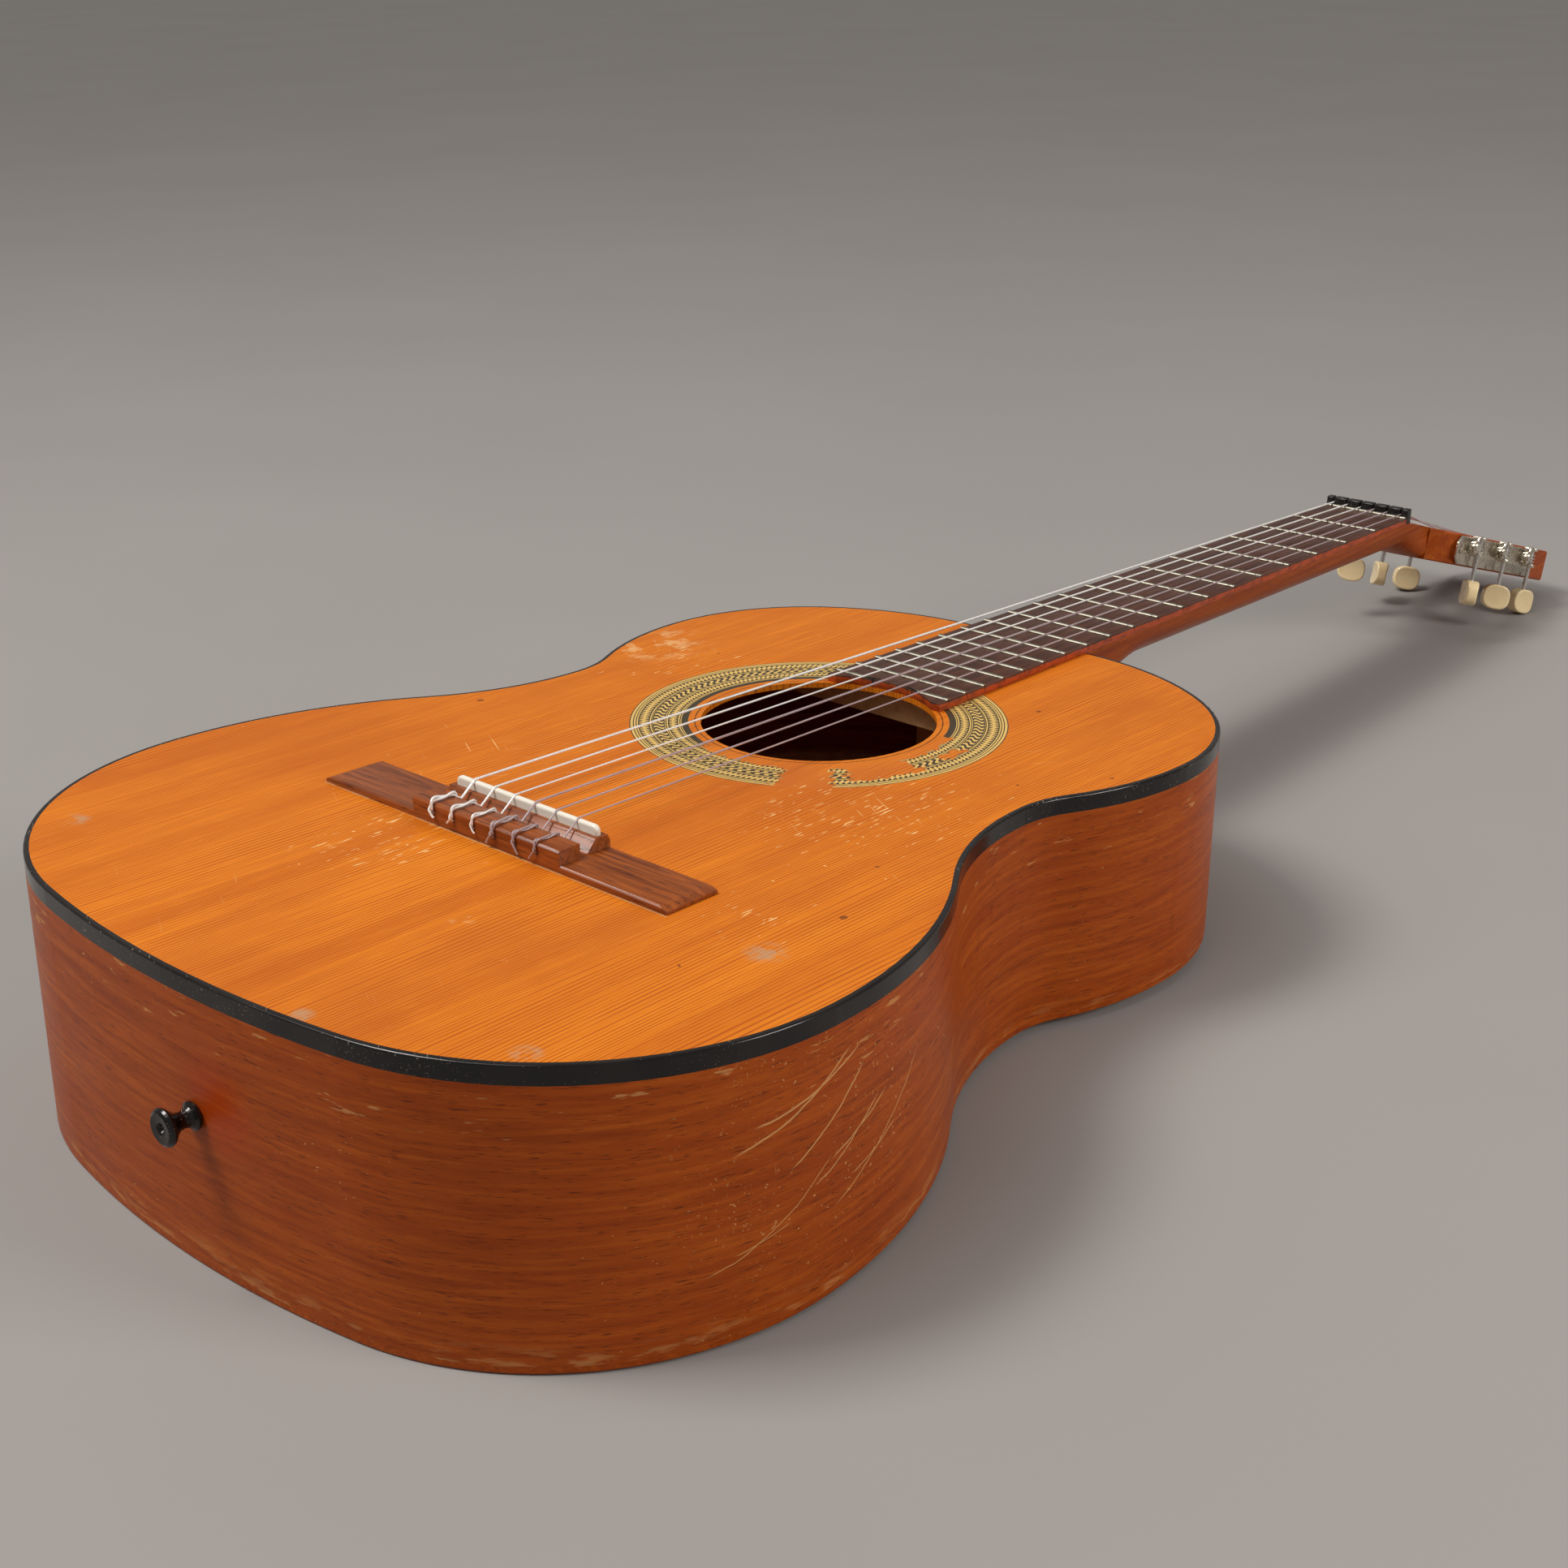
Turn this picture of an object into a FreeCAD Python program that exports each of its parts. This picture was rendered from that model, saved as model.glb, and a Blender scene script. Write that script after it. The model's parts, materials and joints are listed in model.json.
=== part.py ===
import FreeCAD, Part

import math
import os

from FreeCAD import Placement, Rotation, Vector

# Classical guitar, one STEP file per piece, in millimetres.
#
# The pieces are modelled in the top frame: x to the treble side, y to the head, z out of the
# soundboard, with the origin on the soundboard under the saddle line. At the end everything is
# turned and moved, so that the tail edge of the back and the lowest tuning buttons rest on the
# floor at z = 0 and the bounding box is centred on x = 0, y = 0.

# ---- driving dimensions -------------------------------------------------------------------

# Strings and scale
SCALE = 650.0                # zero fret to saddle line
STRING_D = (0.71, 0.82, 1.02, 0.76, 0.91, 1.09)   # strings 1 (treble) to 6 (bass)
SADDLE_SPREAD = 58.0         # string 1 to string 6 at the saddle
NUT_SPREAD = 43.0            # string 1 to string 6 at the zero fret

# Body outline, seen from the front; places are measured from the tail
BODY_LENGTH = 486.0
LOWER_BOUT_W = 367.0
LOWER_BOUT_AT = 127.0
WAIST_W = 254.4
WAIST_AT = 304.5
UPPER_BOUT_W = 295.6
UPPER_BOUT_AT = 387.0
SHOULDER_W = 68.0            # straight stretch across the neck end
# How far each run of the outline leans on its first arc rather than its second
TAIL_EASE = 0.414
FLANK_EASE = 1.51
WAIST_EASE = 0.374
SHOULDER_EASE = 1.14

# Body depth, from the soundboard's face to the back's face
DEPTH_TAIL = 112.0
DEPTH_HEEL = 91.0

# Plates, ribs and what lines them
TOP_T = 2.5
BACK_T = 2.8
BACK_EDGE_R = 0.8
RIB_T = 2.2
BINDING_H = 7.0
BINDING_EDGE_R = 0.9
LINING_T = 5.5
LINING_H = 14.0
SOUNDHOLE_R = 51.0
SOUNDHOLE_FROM_HEEL = 158.0  # centre of the hole to the neck end of the body
ROSETTE_MARGIN = 4.5         # soundhole's edge to the rosette
ROSETTE_W = 26.0
ROSETTE_T = 0.2

# Blocks and bars inside
NECK_BLOCK = (88.0, 32.0)    # width, length along the body
TAIL_BLOCK = (76.0, 15.0)
TENON_W = 18.0               # tongue of the neck block through the ribs, inside the heel
BAR_W = 6.0
TOP_BAR_H = 15.0
TOP_BAR_FROM_HOLE = 13.0     # soundhole's edge to the middle of each bar beside it
BACK_BAR_H = 14.0
BACK_BARS_AT = (112.0, 246.0, 372.0)
FAN_COUNT = 7
FAN_H = 4.5
FAN_PITCH_HEAD = 22.0        # strut spacing at the bar above them
FAN_PITCH_TAIL = 33.0
FAN_END_AT = 38.0            # from the tail
CENTRE_STRIP = (20.0, 2.0)   # width, thickness

# Neck and fingerboard
NUT_W = 51.6                 # fingerboard's width at the zero fret
BODY_JOINT_W = 61.0          # and at the body joint
FINGERBOARD_T = 3.7
FINGERBOARD_END = 43.0       # horns, past the soundhole's centre
NECK_T_NUT = 18.0            # shaft below the fingerboard, at the nut
NECK_T_HEEL = 20.5
HEEL_LENGTH = 62.0
HEEL_CAP_W = 22.0
FRET_COUNT = 19
FRET_W = 2.4
FRET_H = 0.9
ZERO_FRET_EXTRA = 0.25
FRET_TANG = (0.6, 2.0)       # width, depth
FRET_INSET = 0.3             # fret's end to the fingerboard's edge
NUT_T = 5.0
NUT_H = 8.6                  # above the neck's face
NUT_GAP = 1.4                # zero fret's middle to the nut's front

# Bridge
BRIDGE_LENGTH = 191.0
BRIDGE_W = 25.7
BRIDGE_FRONT = 4.0           # saddle line to the bridge's front edge
BRIDGE_CENTRE_L = 82.0
WING_T = 2.8
TIE_BLOCK_W = 10.6
TIE_BLOCK_H = 8.4
TIE_HOLE_R = 1.0
TIE_HOLE_H = 4.4
TROUGH_H = 3.2
RIDGE_H = 7.8
SADDLE_T = 2.7
SADDLE_L = 79.0
SADDLE_H = 11.6
SADDLE_SEAT = 2.6            # bottom of the saddle's slot above the soundboard

# Head
HEAD_ANGLE = 15.7            # degrees
HEAD_LENGTH = 192.0
HEAD_W = 70.0
HEAD_T = 19.0
HEAD_NECK_W = 52.0           # width before the flare
FLARE_AT = 28.0              # from the nut, along the head
FLARE_R = 16.0
CROWN_RISE = 6.0
SLOT_W = 16.0
SLOT_X = 15.5
SLOT_FROM = 37.0
SLOT_TO = 173.0

# Tuning machines, along the head from the nut
TUNER_AT = (65.2, 105.2, 145.2)
ROLLER_DEPTH = 6.0           # roller axis below the head's face
ROLLER_R = 4.5
PIVOT_R = 2.9                # roller's inner end in the middle bar
PIVOT_IN = 5.0               # depth of its hole
PIVOT_SHORT = 0.3            # pivot's end to the hole's bottom
SHAFT_R = 2.0                # cog end of the roller's shaft
RUNNING = 0.08               # radial clearance of shafts in their holes
PLATE_T = 1.2
PLATE_TOP = 1.0              # head's faces to the plate's long edges
PLATE_MARGIN = 17.0          # first and last roller to the plate's ends
PLATE_CHAMFER = 4.5
COG_TEETH = 14
MODULE = 0.62
COG_T = 2.2
COG_FROM_PLATE = 1.9         # plate's face to the cog's near side
WORM_R = 1.95                # pitch radius
MESH_PLAY = 0.25             # added to the distance between the axes
WORM_L = 8.0
TOOTH_OUT = 0.9              # tooth heights as shares of the module: outside the pitch circle
TOOTH_IN = 1.2               # and inside it
WORM_SHAFT_R = 1.3
LUG_T = 1.8
LUG_W = 6.4
SHAFT_TO_BUTTON = 20.0       # worm's middle to the button's near end
BUTTON_SHAFT_IN = 8.0
BUTTON = (16.6, 8.6, 15.0)   # width, thickness, height along the shaft
BUTTON_WAIST = 1.3           # hollow of each face
BUTTON_TURNS = (40.0, -52.0, -18.0, -50.0, 38.0, -60.0)   # rest turns, machines 1 to 6
SCREW_HEAD_R = 2.0
SCREW_HEAD_H = 1.0
SCREW_R = 1.1
SCREW_L = 8.0
STRING_TURNS = 3             # turns of string on each roller

# Strap button at the tail
PIN_DOWN = 51.5              # below the soundboard's face
PIN_X = 12.0                 # off the centre seam, to the treble side
PIN_SHANK_R = 3.6
PIN_SHANK_L = 14.0
PIN_FLANGE_R = 5.2
PIN_WAIST_R = 3.0
PIN_HEAD_R = 7.0
PIN_LENGTH = 13.5
PIN_DIMPLE_R = 1.8

# ---- derived places -----------------------------------------------------------------------

HEEL_Y = SCALE / 2
TAIL_Y = HEEL_Y - BODY_LENGTH
HOLE_Y = HEEL_Y - SOUNDHOLE_FROM_HEEL
BOARD_END_Y = HOLE_Y + FINGERBOARD_END
NUT_FRONT_Y = SCALE + NUT_GAP
NUT_BACK_Y = NUT_FRONT_Y + NUT_T
DEEP = max(DEPTH_TAIL, DEPTH_HEEL) + 5
ROSETTE_INNER_R = SOUNDHOLE_R + ROSETTE_MARGIN
ROSETTE_OUTER_R = ROSETTE_INNER_R + ROSETTE_W
PLATE_H = HEAD_T - 2 * PLATE_TOP
TAPER = math.degrees(math.atan2(DEPTH_TAIL - DEPTH_HEEL, BODY_LENGTH))
ZERO_TOP = FINGERBOARD_T + FRET_H + ZERO_FRET_EXTRA
LINED = RIB_T + LINING_T
CLEAR = 0.02                 # between a string and what it rests on
WIDE = 4 * BODY_LENGTH       # larger than the whole guitar
LEAN_STEPS = 4               # rounds that settle the guitar on the floor

X_AXIS = Vector(1, 0, 0)
Y_AXIS = Vector(0, 1, 0)
Z_AXIS = Vector(0, 0, 1)
HEAD = Placement(Vector(0, NUT_BACK_Y, 0), Rotation(X_AXIS, -HEAD_ANGLE))
BACK = Placement(Vector(0, TAIL_Y, -DEPTH_TAIL), Rotation(X_AXIS, TAPER))

PLATE_FACE_X = HEAD_W / 2 + PLATE_T
COG_X = PLATE_FACE_X + COG_FROM_PLATE + COG_T / 2
COG_R = COG_TEETH * MODULE / 2
AXES_APART = COG_R + WORM_R + MESH_PLAY
PITCH = math.pi * MODULE
THREAD_RUN = WORM_L - PITCH
# The thread starts where its groove faces the cog's tooth half-way up the worm
THREAD_START = 270 - 360 * (0.5 + THREAD_RUN / (2 * PITCH))


# ---- small helpers ------------------------------------------------------------------------

def box(x0, x1, y0, y1, z0, z1):
    """Block between two corners."""
    return Part.makeBox(x1 - x0, y1 - y0, z1 - z0, Vector(x0, y0, z0))


def placed(shape, placement):
    """Copy of a shape, moved by a placement."""
    moved = shape.copy()
    moved.Placement = placement.multiply(moved.Placement)
    return moved


def cylinder(radius, start, end):
    """Round bar between two points."""
    run = Vector(end).sub(Vector(start))
    return Part.makeCylinder(radius, run.Length, Vector(start), run)


def extruded(points, direction):
    """Prism over a flat polygon."""
    wire = Part.makePolygon(list(points) + [points[0]])
    return Part.Face(wire).extrude(direction)


def mirrored(shape):
    """The same piece on the other side of the middle plane."""
    return shape.mirror(Vector(0, 0, 0), X_AXIS)


def rounded(shape, radius, chosen):
    """Shape with its chosen edges rounded."""
    edges = [edge for edge in shape.Edges if chosen(edge)]
    return shape.makeFillet(radius, edges)


def fret_y(number):
    """Place of a fret on the scale."""
    return SCALE * 2 ** (-number / 12)


def board_width(y):
    """Width of the tapering fingerboard."""
    return NUT_W + (BODY_JOINT_W - NUT_W) * (SCALE - y) / (SCALE - HEEL_Y)


def string_x(number, spread):
    """Sideways place of a string, from string 1 on the treble side."""
    return spread / 2 - (number - 1) * spread / 5


# ---- body outline -------------------------------------------------------------------------

def arc_between(start, tangent, end):
    """Arc as centre, signed radius, first angle and sweep; it turns left when positive."""
    chord = end.sub(start)
    normal = Vector(-tangent.y, tangent.x, 0)
    radius = chord.dot(chord) / (2 * chord.dot(normal))
    centre = start.add(normal.multiply(radius))
    first = math.atan2(start.y - centre.y, start.x - centre.x)
    last = math.atan2(end.y - centre.y, end.x - centre.x)
    sweep = (last - first) % (2 * math.pi)
    if radius < 0:
        sweep -= 2 * math.pi
    return centre, radius, first, sweep


def two_arcs(start, tangent, end, end_tangent, ease):
    """Two arcs that leave and arrive along the given tangents and meet smoothly."""
    chord = end.sub(start)
    a = 2 * ease * (tangent.dot(end_tangent) - 1)
    b = -2 * chord.dot(tangent * ease + end_tangent)
    c = chord.dot(chord)
    if abs(a) < 1e-9:
        reach = -c / b
    else:
        root = math.sqrt(b * b - 4 * a * c)
        reach = min(r for r in ((-b + root) / (2 * a), (-b - root) / (2 * a)) if r > 0)
    near = start + tangent * (ease * reach)
    far = end - end_tangent * reach
    meet = (near + far * ease) * (1 / (1 + ease))
    middle = (far - near).normalize()
    return [arc_between(start, tangent, meet), arc_between(meet, middle, end)]


def half_outline():
    """Arcs of the treble half, from the middle of the tail to the neck."""
    stations = [
        (Vector(0, TAIL_Y, 0), Vector(1, 0, 0)),
        (Vector(LOWER_BOUT_W / 2, TAIL_Y + LOWER_BOUT_AT, 0), Vector(0, 1, 0)),
        (Vector(WAIST_W / 2, TAIL_Y + WAIST_AT, 0), Vector(0, 1, 0)),
        (Vector(UPPER_BOUT_W / 2, TAIL_Y + UPPER_BOUT_AT, 0), Vector(0, 1, 0)),
        (Vector(SHOULDER_W / 2, HEEL_Y, 0), Vector(-1, 0, 0)),
    ]
    eases = (TAIL_EASE, FLANK_EASE, WAIST_EASE, SHOULDER_EASE)
    arcs = []
    for (start, tangent), (end, end_tangent), ease in zip(stations, stations[1:], eases):
        arcs += two_arcs(start, tangent, end, end_tangent, ease)
    return arcs


HALF_OUTLINE = half_outline()


def outline_face(inset, z):
    """Face inside the outline, set in from it by an even distance."""
    treble = []
    bass = []
    for centre, radius, first, sweep in HALF_OUTLINE:
        reach = abs(radius) - inset * math.copysign(1, radius)
        spots = []
        for share in (0, 0.5, 1):
            angle = first + share * sweep
            spots.append(centre + Vector(math.cos(angle), math.sin(angle), 0) * reach)
        spots = [Vector(spot.x, spot.y, z) for spot in spots]
        treble.append(Part.Arc(*spots).toShape())
        bass.append(Part.Arc(*[Vector(-spot.x, spot.y, z) for spot in spots]).toShape())
    across = Part.makeLine(treble[-1].Vertexes[-1].Point, bass[-1].Vertexes[-1].Point)
    return Part.Face(Part.Wire(Part.__sortEdges__(treble + [across] + bass)))


def body_prism(inset, z0, z1):
    """Block of the body's outline, set in by an even distance."""
    return outline_face(inset, z0).extrude(Vector(0, 0, z1 - z0))


def above_back(low, high):
    """Everything between two heights above the back's outer face."""
    slab = box(-WIDE / 2, WIDE / 2, -WIDE / 2, WIDE / 2, low, high)
    return placed(slab, BACK)


# ---- body ---------------------------------------------------------------------------------

def pin_seat():
    """Where the strap button's flange meets the curve of the tail."""
    radius = abs(HALF_OUTLINE[0][1])
    inner = max(abs(PIN_X) - PIN_FLANGE_R, 0)
    return TAIL_Y + radius - math.sqrt(radius ** 2 - inner ** 2)


def pin_hole():
    """Hole for the strap button's shank, through the ribs and the tail block."""
    deep = pin_seat() + PIN_SHANK_L
    return cylinder(PIN_SHANK_R, (PIN_X, TAIL_Y - 1, -PIN_DOWN), (PIN_X, deep, -PIN_DOWN))


def tenon_space():
    """Where the neck block's tongue passes through the ribs and the binding."""
    return box(-TENON_W / 2, TENON_W / 2, HEEL_Y - RIB_T, HEEL_Y, -DEEP, 0)


def block_space(size, at_tail):
    """Space of an end block, full height."""
    width, length = size
    if at_tail:
        y0, y1 = TAIL_Y - 1, TAIL_Y + RIB_T + length
    else:
        y0, y1 = HEEL_Y - RIB_T - length, HEEL_Y + 1
    return box(-width / 2, width / 2, y0, y1, -WIDE, 0)


def soundboard():
    plate = body_prism(RIB_T, -TOP_T, 0)
    hole = cylinder(SOUNDHOLE_R, (0, HOLE_Y, -TOP_T - 1), (0, HOLE_Y, 1))
    recess = cylinder(ROSETTE_OUTER_R, (0, HOLE_Y, -ROSETTE_T), (0, HOLE_Y, 1))
    island = cylinder(ROSETTE_INNER_R, (0, HOLE_Y, -ROSETTE_T - 1), (0, HOLE_Y, 2))
    return plate.cut(hole).cut(recess.cut(island))


def rosette():
    ring = cylinder(ROSETTE_OUTER_R, (0, HOLE_Y, -ROSETTE_T), (0, HOLE_Y, 0))
    return ring.cut(cylinder(ROSETTE_INNER_R, (0, HOLE_Y, -1), (0, HOLE_Y, 1)))


def back_plate():
    plate = body_prism(0, -DEEP, 0).common(above_back(0, BACK_T))
    inverse = BACK.inverse()

    def on_outer_face(edge):
        return all(abs(inverse.multVec(v.Point).z) < 0.01 for v in edge.Vertexes)

    return rounded(plate, BACK_EDGE_R, on_outer_face)


def rib(side):
    wall = body_prism(0, -DEEP, -BINDING_H)
    wall = wall.cut(body_prism(RIB_T, -WIDE, WIDE))
    wall = wall.common(above_back(BACK_T, WIDE))
    wall = wall.cut(tenon_space()).cut(pin_hole())
    low, high = (0, WIDE) if side > 0 else (-WIDE, 0)
    return wall.common(box(low, high, -WIDE, WIDE, -WIDE, WIDE))


def top_binding():
    strip = body_prism(0, -BINDING_H, 0)

    def top_edge(edge):
        return all(abs(v.Point.z) < 0.01 for v in edge.Vertexes)

    strip = rounded(strip, BINDING_EDGE_R, top_edge)
    return strip.cut(body_prism(RIB_T, -WIDE, WIDE)).cut(tenon_space())


def lining(low, high):
    strip = body_prism(RIB_T, -WIDE / 2, WIDE / 2).cut(body_prism(LINED, -WIDE, WIDE))
    strip = strip.cut(block_space(NECK_BLOCK, False)).cut(block_space(TAIL_BLOCK, True))
    return strip.common(above_back(low, high))


def top_linings():
    strip = body_prism(RIB_T, -TOP_T - LINING_H, -TOP_T).cut(body_prism(LINED, -WIDE, WIDE))
    return strip.cut(block_space(NECK_BLOCK, False)).cut(block_space(TAIL_BLOCK, True))


def neck_block():
    block = block_space(NECK_BLOCK, False).common(body_prism(RIB_T, -DEEP, -TOP_T))
    tongue = tenon_space()
    return block.fuse(tongue).common(above_back(BACK_T, WIDE)).removeSplitter()


def tail_block():
    block = block_space(TAIL_BLOCK, True).common(body_prism(RIB_T, -DEEP, -TOP_T))
    return block.common(above_back(BACK_T, WIDE)).cut(pin_hole())


def top_bar_places():
    reach = SOUNDHOLE_R + TOP_BAR_FROM_HOLE
    return HOLE_Y - reach, HOLE_Y + reach


def transverse_bars():
    room = body_prism(LINED, -TOP_T - TOP_BAR_H, -TOP_T)
    bars = [box(-WIDE / 2, WIDE / 2, y - BAR_W / 2, y + BAR_W / 2, -WIDE, 0).common(room)
            for y in top_bar_places()]
    return Part.makeCompound(bars)


def fan_braces():
    y_head = top_bar_places()[0] - BAR_W / 2
    y_tail = TAIL_Y + FAN_END_AT
    struts = []
    for index in range(FAN_COUNT):
        step = index - (FAN_COUNT - 1) / 2
        x_head = step * FAN_PITCH_HEAD
        x_tail = step * FAN_PITCH_TAIL
        corners = [Vector(x_tail - BAR_W / 2, y_tail, -TOP_T - FAN_H),
                   Vector(x_tail + BAR_W / 2, y_tail, -TOP_T - FAN_H),
                   Vector(x_head + BAR_W / 2, y_head, -TOP_T - FAN_H),
                   Vector(x_head - BAR_W / 2, y_head, -TOP_T - FAN_H)]
        struts.append(extruded(corners, Vector(0, 0, FAN_H)))
    return Part.makeCompound(struts)


def back_braces():
    room = body_prism(LINED, -WIDE, WIDE).common(above_back(BACK_T, BACK_T + BACK_BAR_H))
    bars = []
    for at in BACK_BARS_AT:
        y = TAIL_Y + at
        bars.append(box(-WIDE / 2, WIDE / 2, y - BAR_W / 2, y + BAR_W / 2, -WIDE, WIDE).common(room))
    return Part.makeCompound(bars)


def back_centre_strip():
    width, thickness = CENTRE_STRIP
    y0 = TAIL_Y + RIB_T + TAIL_BLOCK[1]
    y1 = HEEL_Y - RIB_T - NECK_BLOCK[1]
    strip = box(-width / 2, width / 2, y0, y1, -WIDE, WIDE)
    strip = strip.common(above_back(BACK_T, BACK_T + thickness))
    for at in BACK_BARS_AT:
        y = TAIL_Y + at
        strip = strip.cut(box(-width, width, y - BAR_W / 2, y + BAR_W / 2, -WIDE, WIDE))
    return strip


def end_pin():
    profile = [(0, -PIN_SHANK_L), (PIN_SHANK_R, -PIN_SHANK_L), (PIN_SHANK_R, 0),
               (PIN_FLANGE_R - 0.6, 0), (PIN_FLANGE_R, 0.7), (PIN_FLANGE_R, 1.6),
               (PIN_FLANGE_R - 1.2, 2.4), (PIN_WAIST_R + 0.3, 3.6), (PIN_WAIST_R, 5.2),
               (PIN_WAIST_R + 0.4, 7.2), (PIN_HEAD_R - 1.6, 9.6), (PIN_HEAD_R - 0.4, 10.8),
               (PIN_HEAD_R, 11.9), (PIN_HEAD_R - 0.5, PIN_LENGTH - 0.7),
               (PIN_HEAD_R - 1.6, PIN_LENGTH), (PIN_DIMPLE_R + 0.7, PIN_LENGTH - 0.3),
               (PIN_DIMPLE_R, PIN_LENGTH - 0.9), (PIN_DIMPLE_R * 0.6, PIN_LENGTH - 2.2),
               (0, PIN_LENGTH - 2.5)]
    seat = pin_seat()
    points = [Vector(PIN_X + r, seat - out, -PIN_DOWN) for r, out in profile]
    face = Part.Face(Part.makePolygon(points + [points[0]]))
    return face.revolve(Vector(PIN_X, 0, -PIN_DOWN), Y_AXIS, 360)


# ---- neck and head ------------------------------------------------------------------------

def neck_section(width, depth, squareness, frame, cap=None):
    """Wire across the neck: flat top and a round back, narrowing downwards to the heel's cap."""
    taper = 0 if cap is None else (1 - cap / width) / DEPTH_HEEL
    count = 16
    points = []
    for index in range(count + 1):
        angle = math.pi * index / count
        side = math.copysign(abs(math.cos(angle)) ** (2 / squareness), math.cos(angle))
        down = depth * math.sin(angle) ** (2 / squareness)
        x = width / 2 * side * (1 - taper * down)
        points.append(frame.multVec(Vector(x, 0, -down)))
    curve = Part.BSplineCurve()
    curve.interpolate(points)
    return Part.Wire([curve.toShape(), Part.makeLine(points[-1], points[0])])


def at_y(y):
    """Upright section plane across the neck."""
    return Placement(Vector(0, y, 0), Rotation())


def heel():
    sections = []
    for share in (0, 0.12, 0.3, 0.55, 0.8, 1):
        y = HEEL_Y + share * HEEL_LENGTH
        depth = NECK_T_HEEL + (DEPTH_HEEL - NECK_T_HEEL) * (1 - share) ** 2.6
        squareness = 2.2 + 0.8 * (1 - share)
        sections.append(neck_section(board_width(y), depth, squareness, at_y(y), HEEL_CAP_W))
    return Part.makeLoft(sections, True, False)


def head_profile():
    """Face of the head in its own frame, from the end of the throat to the crown."""
    half = HEAD_W / 2
    throat = HEAD_NECK_W / 2
    flare_y = FLARE_AT + FLARE_R
    step = half - throat
    turn = math.acos(1 - step / (2 * FLARE_R))
    rise = 2 * FLARE_R * math.sin(turn)
    crown = HEAD_LENGTH - CROWN_RISE

    def side(sign):
        a = Vector(sign * throat, FLARE_AT, 0)
        b = Vector(sign * throat, flare_y - FLARE_R / 2, 0)
        c = Vector(sign * (throat + step / 2), b.y + rise / 2, 0)
        d = Vector(sign * half, b.y + rise, 0)
        lean = FLARE_R * (1 - math.cos(turn / 2))
        run = FLARE_R * math.sin(turn / 2)
        e = Vector(sign * half, crown, 0)
        return [Part.makeLine(a, b),
                Part.Arc(b, Vector(sign * (throat + lean), b.y + run, 0), c).toShape(),
                Part.Arc(c, Vector(sign * (half - lean), d.y - run, 0), d).toShape(),
                Part.makeLine(d, e)]

    top = Part.Arc(Vector(half, crown, 0), Vector(0, HEAD_LENGTH, 0), Vector(-half, crown, 0))
    bottom = Part.makeLine(Vector(throat, FLARE_AT, 0), Vector(-throat, FLARE_AT, 0))
    edges = side(1) + side(-1) + [top.toShape(), bottom]
    return Part.Face(Part.Wire(Part.__sortEdges__(edges)))


def slot(sign):
    """String slot in the head, round at both ends."""
    radius = SLOT_W / 2
    x = sign * SLOT_X
    y0 = SLOT_FROM + radius
    y1 = SLOT_TO - radius
    shape = box(x - radius, x + radius, y0, y1, -HEAD_T - 1, 1)
    for y in (y0, y1):
        shape = shape.fuse(cylinder(radius, (x, y, -HEAD_T - 1), (x, y, 1)))
    return shape


def side_screws():
    """Places of the plate screws along the head: both ends and between the machines."""
    first = TUNER_AT[0] - PLATE_MARGIN + 5.0
    last = TUNER_AT[-1] + PLATE_MARGIN - 5.0
    between = [a + 0.36 * (b - a) + 4.0 for a, b in zip(TUNER_AT, TUNER_AT[1:])]
    return [first] + between + [last]


def head_holes():
    """Roller bores and screw holes of one side, in the head's frame."""
    inner = SLOT_X - SLOT_W / 2
    holes = []
    for y in TUNER_AT:
        holes.append(cylinder(ROLLER_R + RUNNING, (inner, y, -ROLLER_DEPTH), (HEAD_W, y, -ROLLER_DEPTH)))
        holes.append(cylinder(PIVOT_R + RUNNING, (inner - PIVOT_IN, y, -ROLLER_DEPTH),
                              (inner + 1, y, -ROLLER_DEPTH)))
    for y in side_screws():
        z = -PLATE_TOP - PLATE_H / 2
        holes.append(cylinder(SCREW_R, (HEAD_W / 2 - SCREW_L, y, z), (HEAD_W, y, z)))
    return holes


def neck():
    shaft_end = neck_section(NUT_W, NECK_T_NUT, 2.4, at_y(NUT_BACK_Y))
    shaft_start = neck_section(board_width(HEEL_Y + HEEL_LENGTH), NECK_T_HEEL, 2.2,
                               at_y(HEEL_Y + HEEL_LENGTH), HEEL_CAP_W)
    shaft = Part.makeLoft([shaft_start, shaft_end], True, True)
    throat_frame = HEAD.multiply(Placement(Vector(0, FLARE_AT, 0), Rotation()))
    throat_end = neck_section(HEAD_NECK_W, HEAD_T, 9.0, throat_frame)
    throat = Part.makeLoft([shaft_end, throat_end], True, True)
    head = head_profile().extrude(Vector(0, 0, -HEAD_T))
    head = rounded(head, 1.2, lambda edge: edge.BoundBox.YMin > FLARE_AT + 0.1
                   and abs(edge.Vertexes[0].Point.z - edge.Vertexes[-1].Point.z) < 0.01)
    for sign in (1, -1):
        head = head.cut(slot(sign))
    for hole in head_holes():
        head = head.cut(hole).cut(mirrored(hole))
    whole = heel().fuse([shaft, throat, placed(head, HEAD)])
    return whole.removeSplitter()


def fingerboard():
    y0 = BOARD_END_Y
    y1 = NUT_FRONT_Y
    corners = [Vector(-board_width(y0) / 2, y0, 0), Vector(board_width(y0) / 2, y0, 0),
               Vector(board_width(y1) / 2, y1, 0), Vector(-board_width(y1) / 2, y1, 0)]
    board = extruded(corners, Vector(0, 0, FINGERBOARD_T))
    board = board.cut(cylinder(SOUNDHOLE_R, (0, HOLE_Y, -1), (0, HOLE_Y, FINGERBOARD_T + 1)))
    tang_w, tang_d = FRET_TANG
    for y in [SCALE] + fret_places():
        board = board.cut(box(-WIDE, WIDE, y - tang_w / 2, y + tang_w / 2,
                              FINGERBOARD_T - tang_d, FINGERBOARD_T + 1))
    return board


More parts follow.
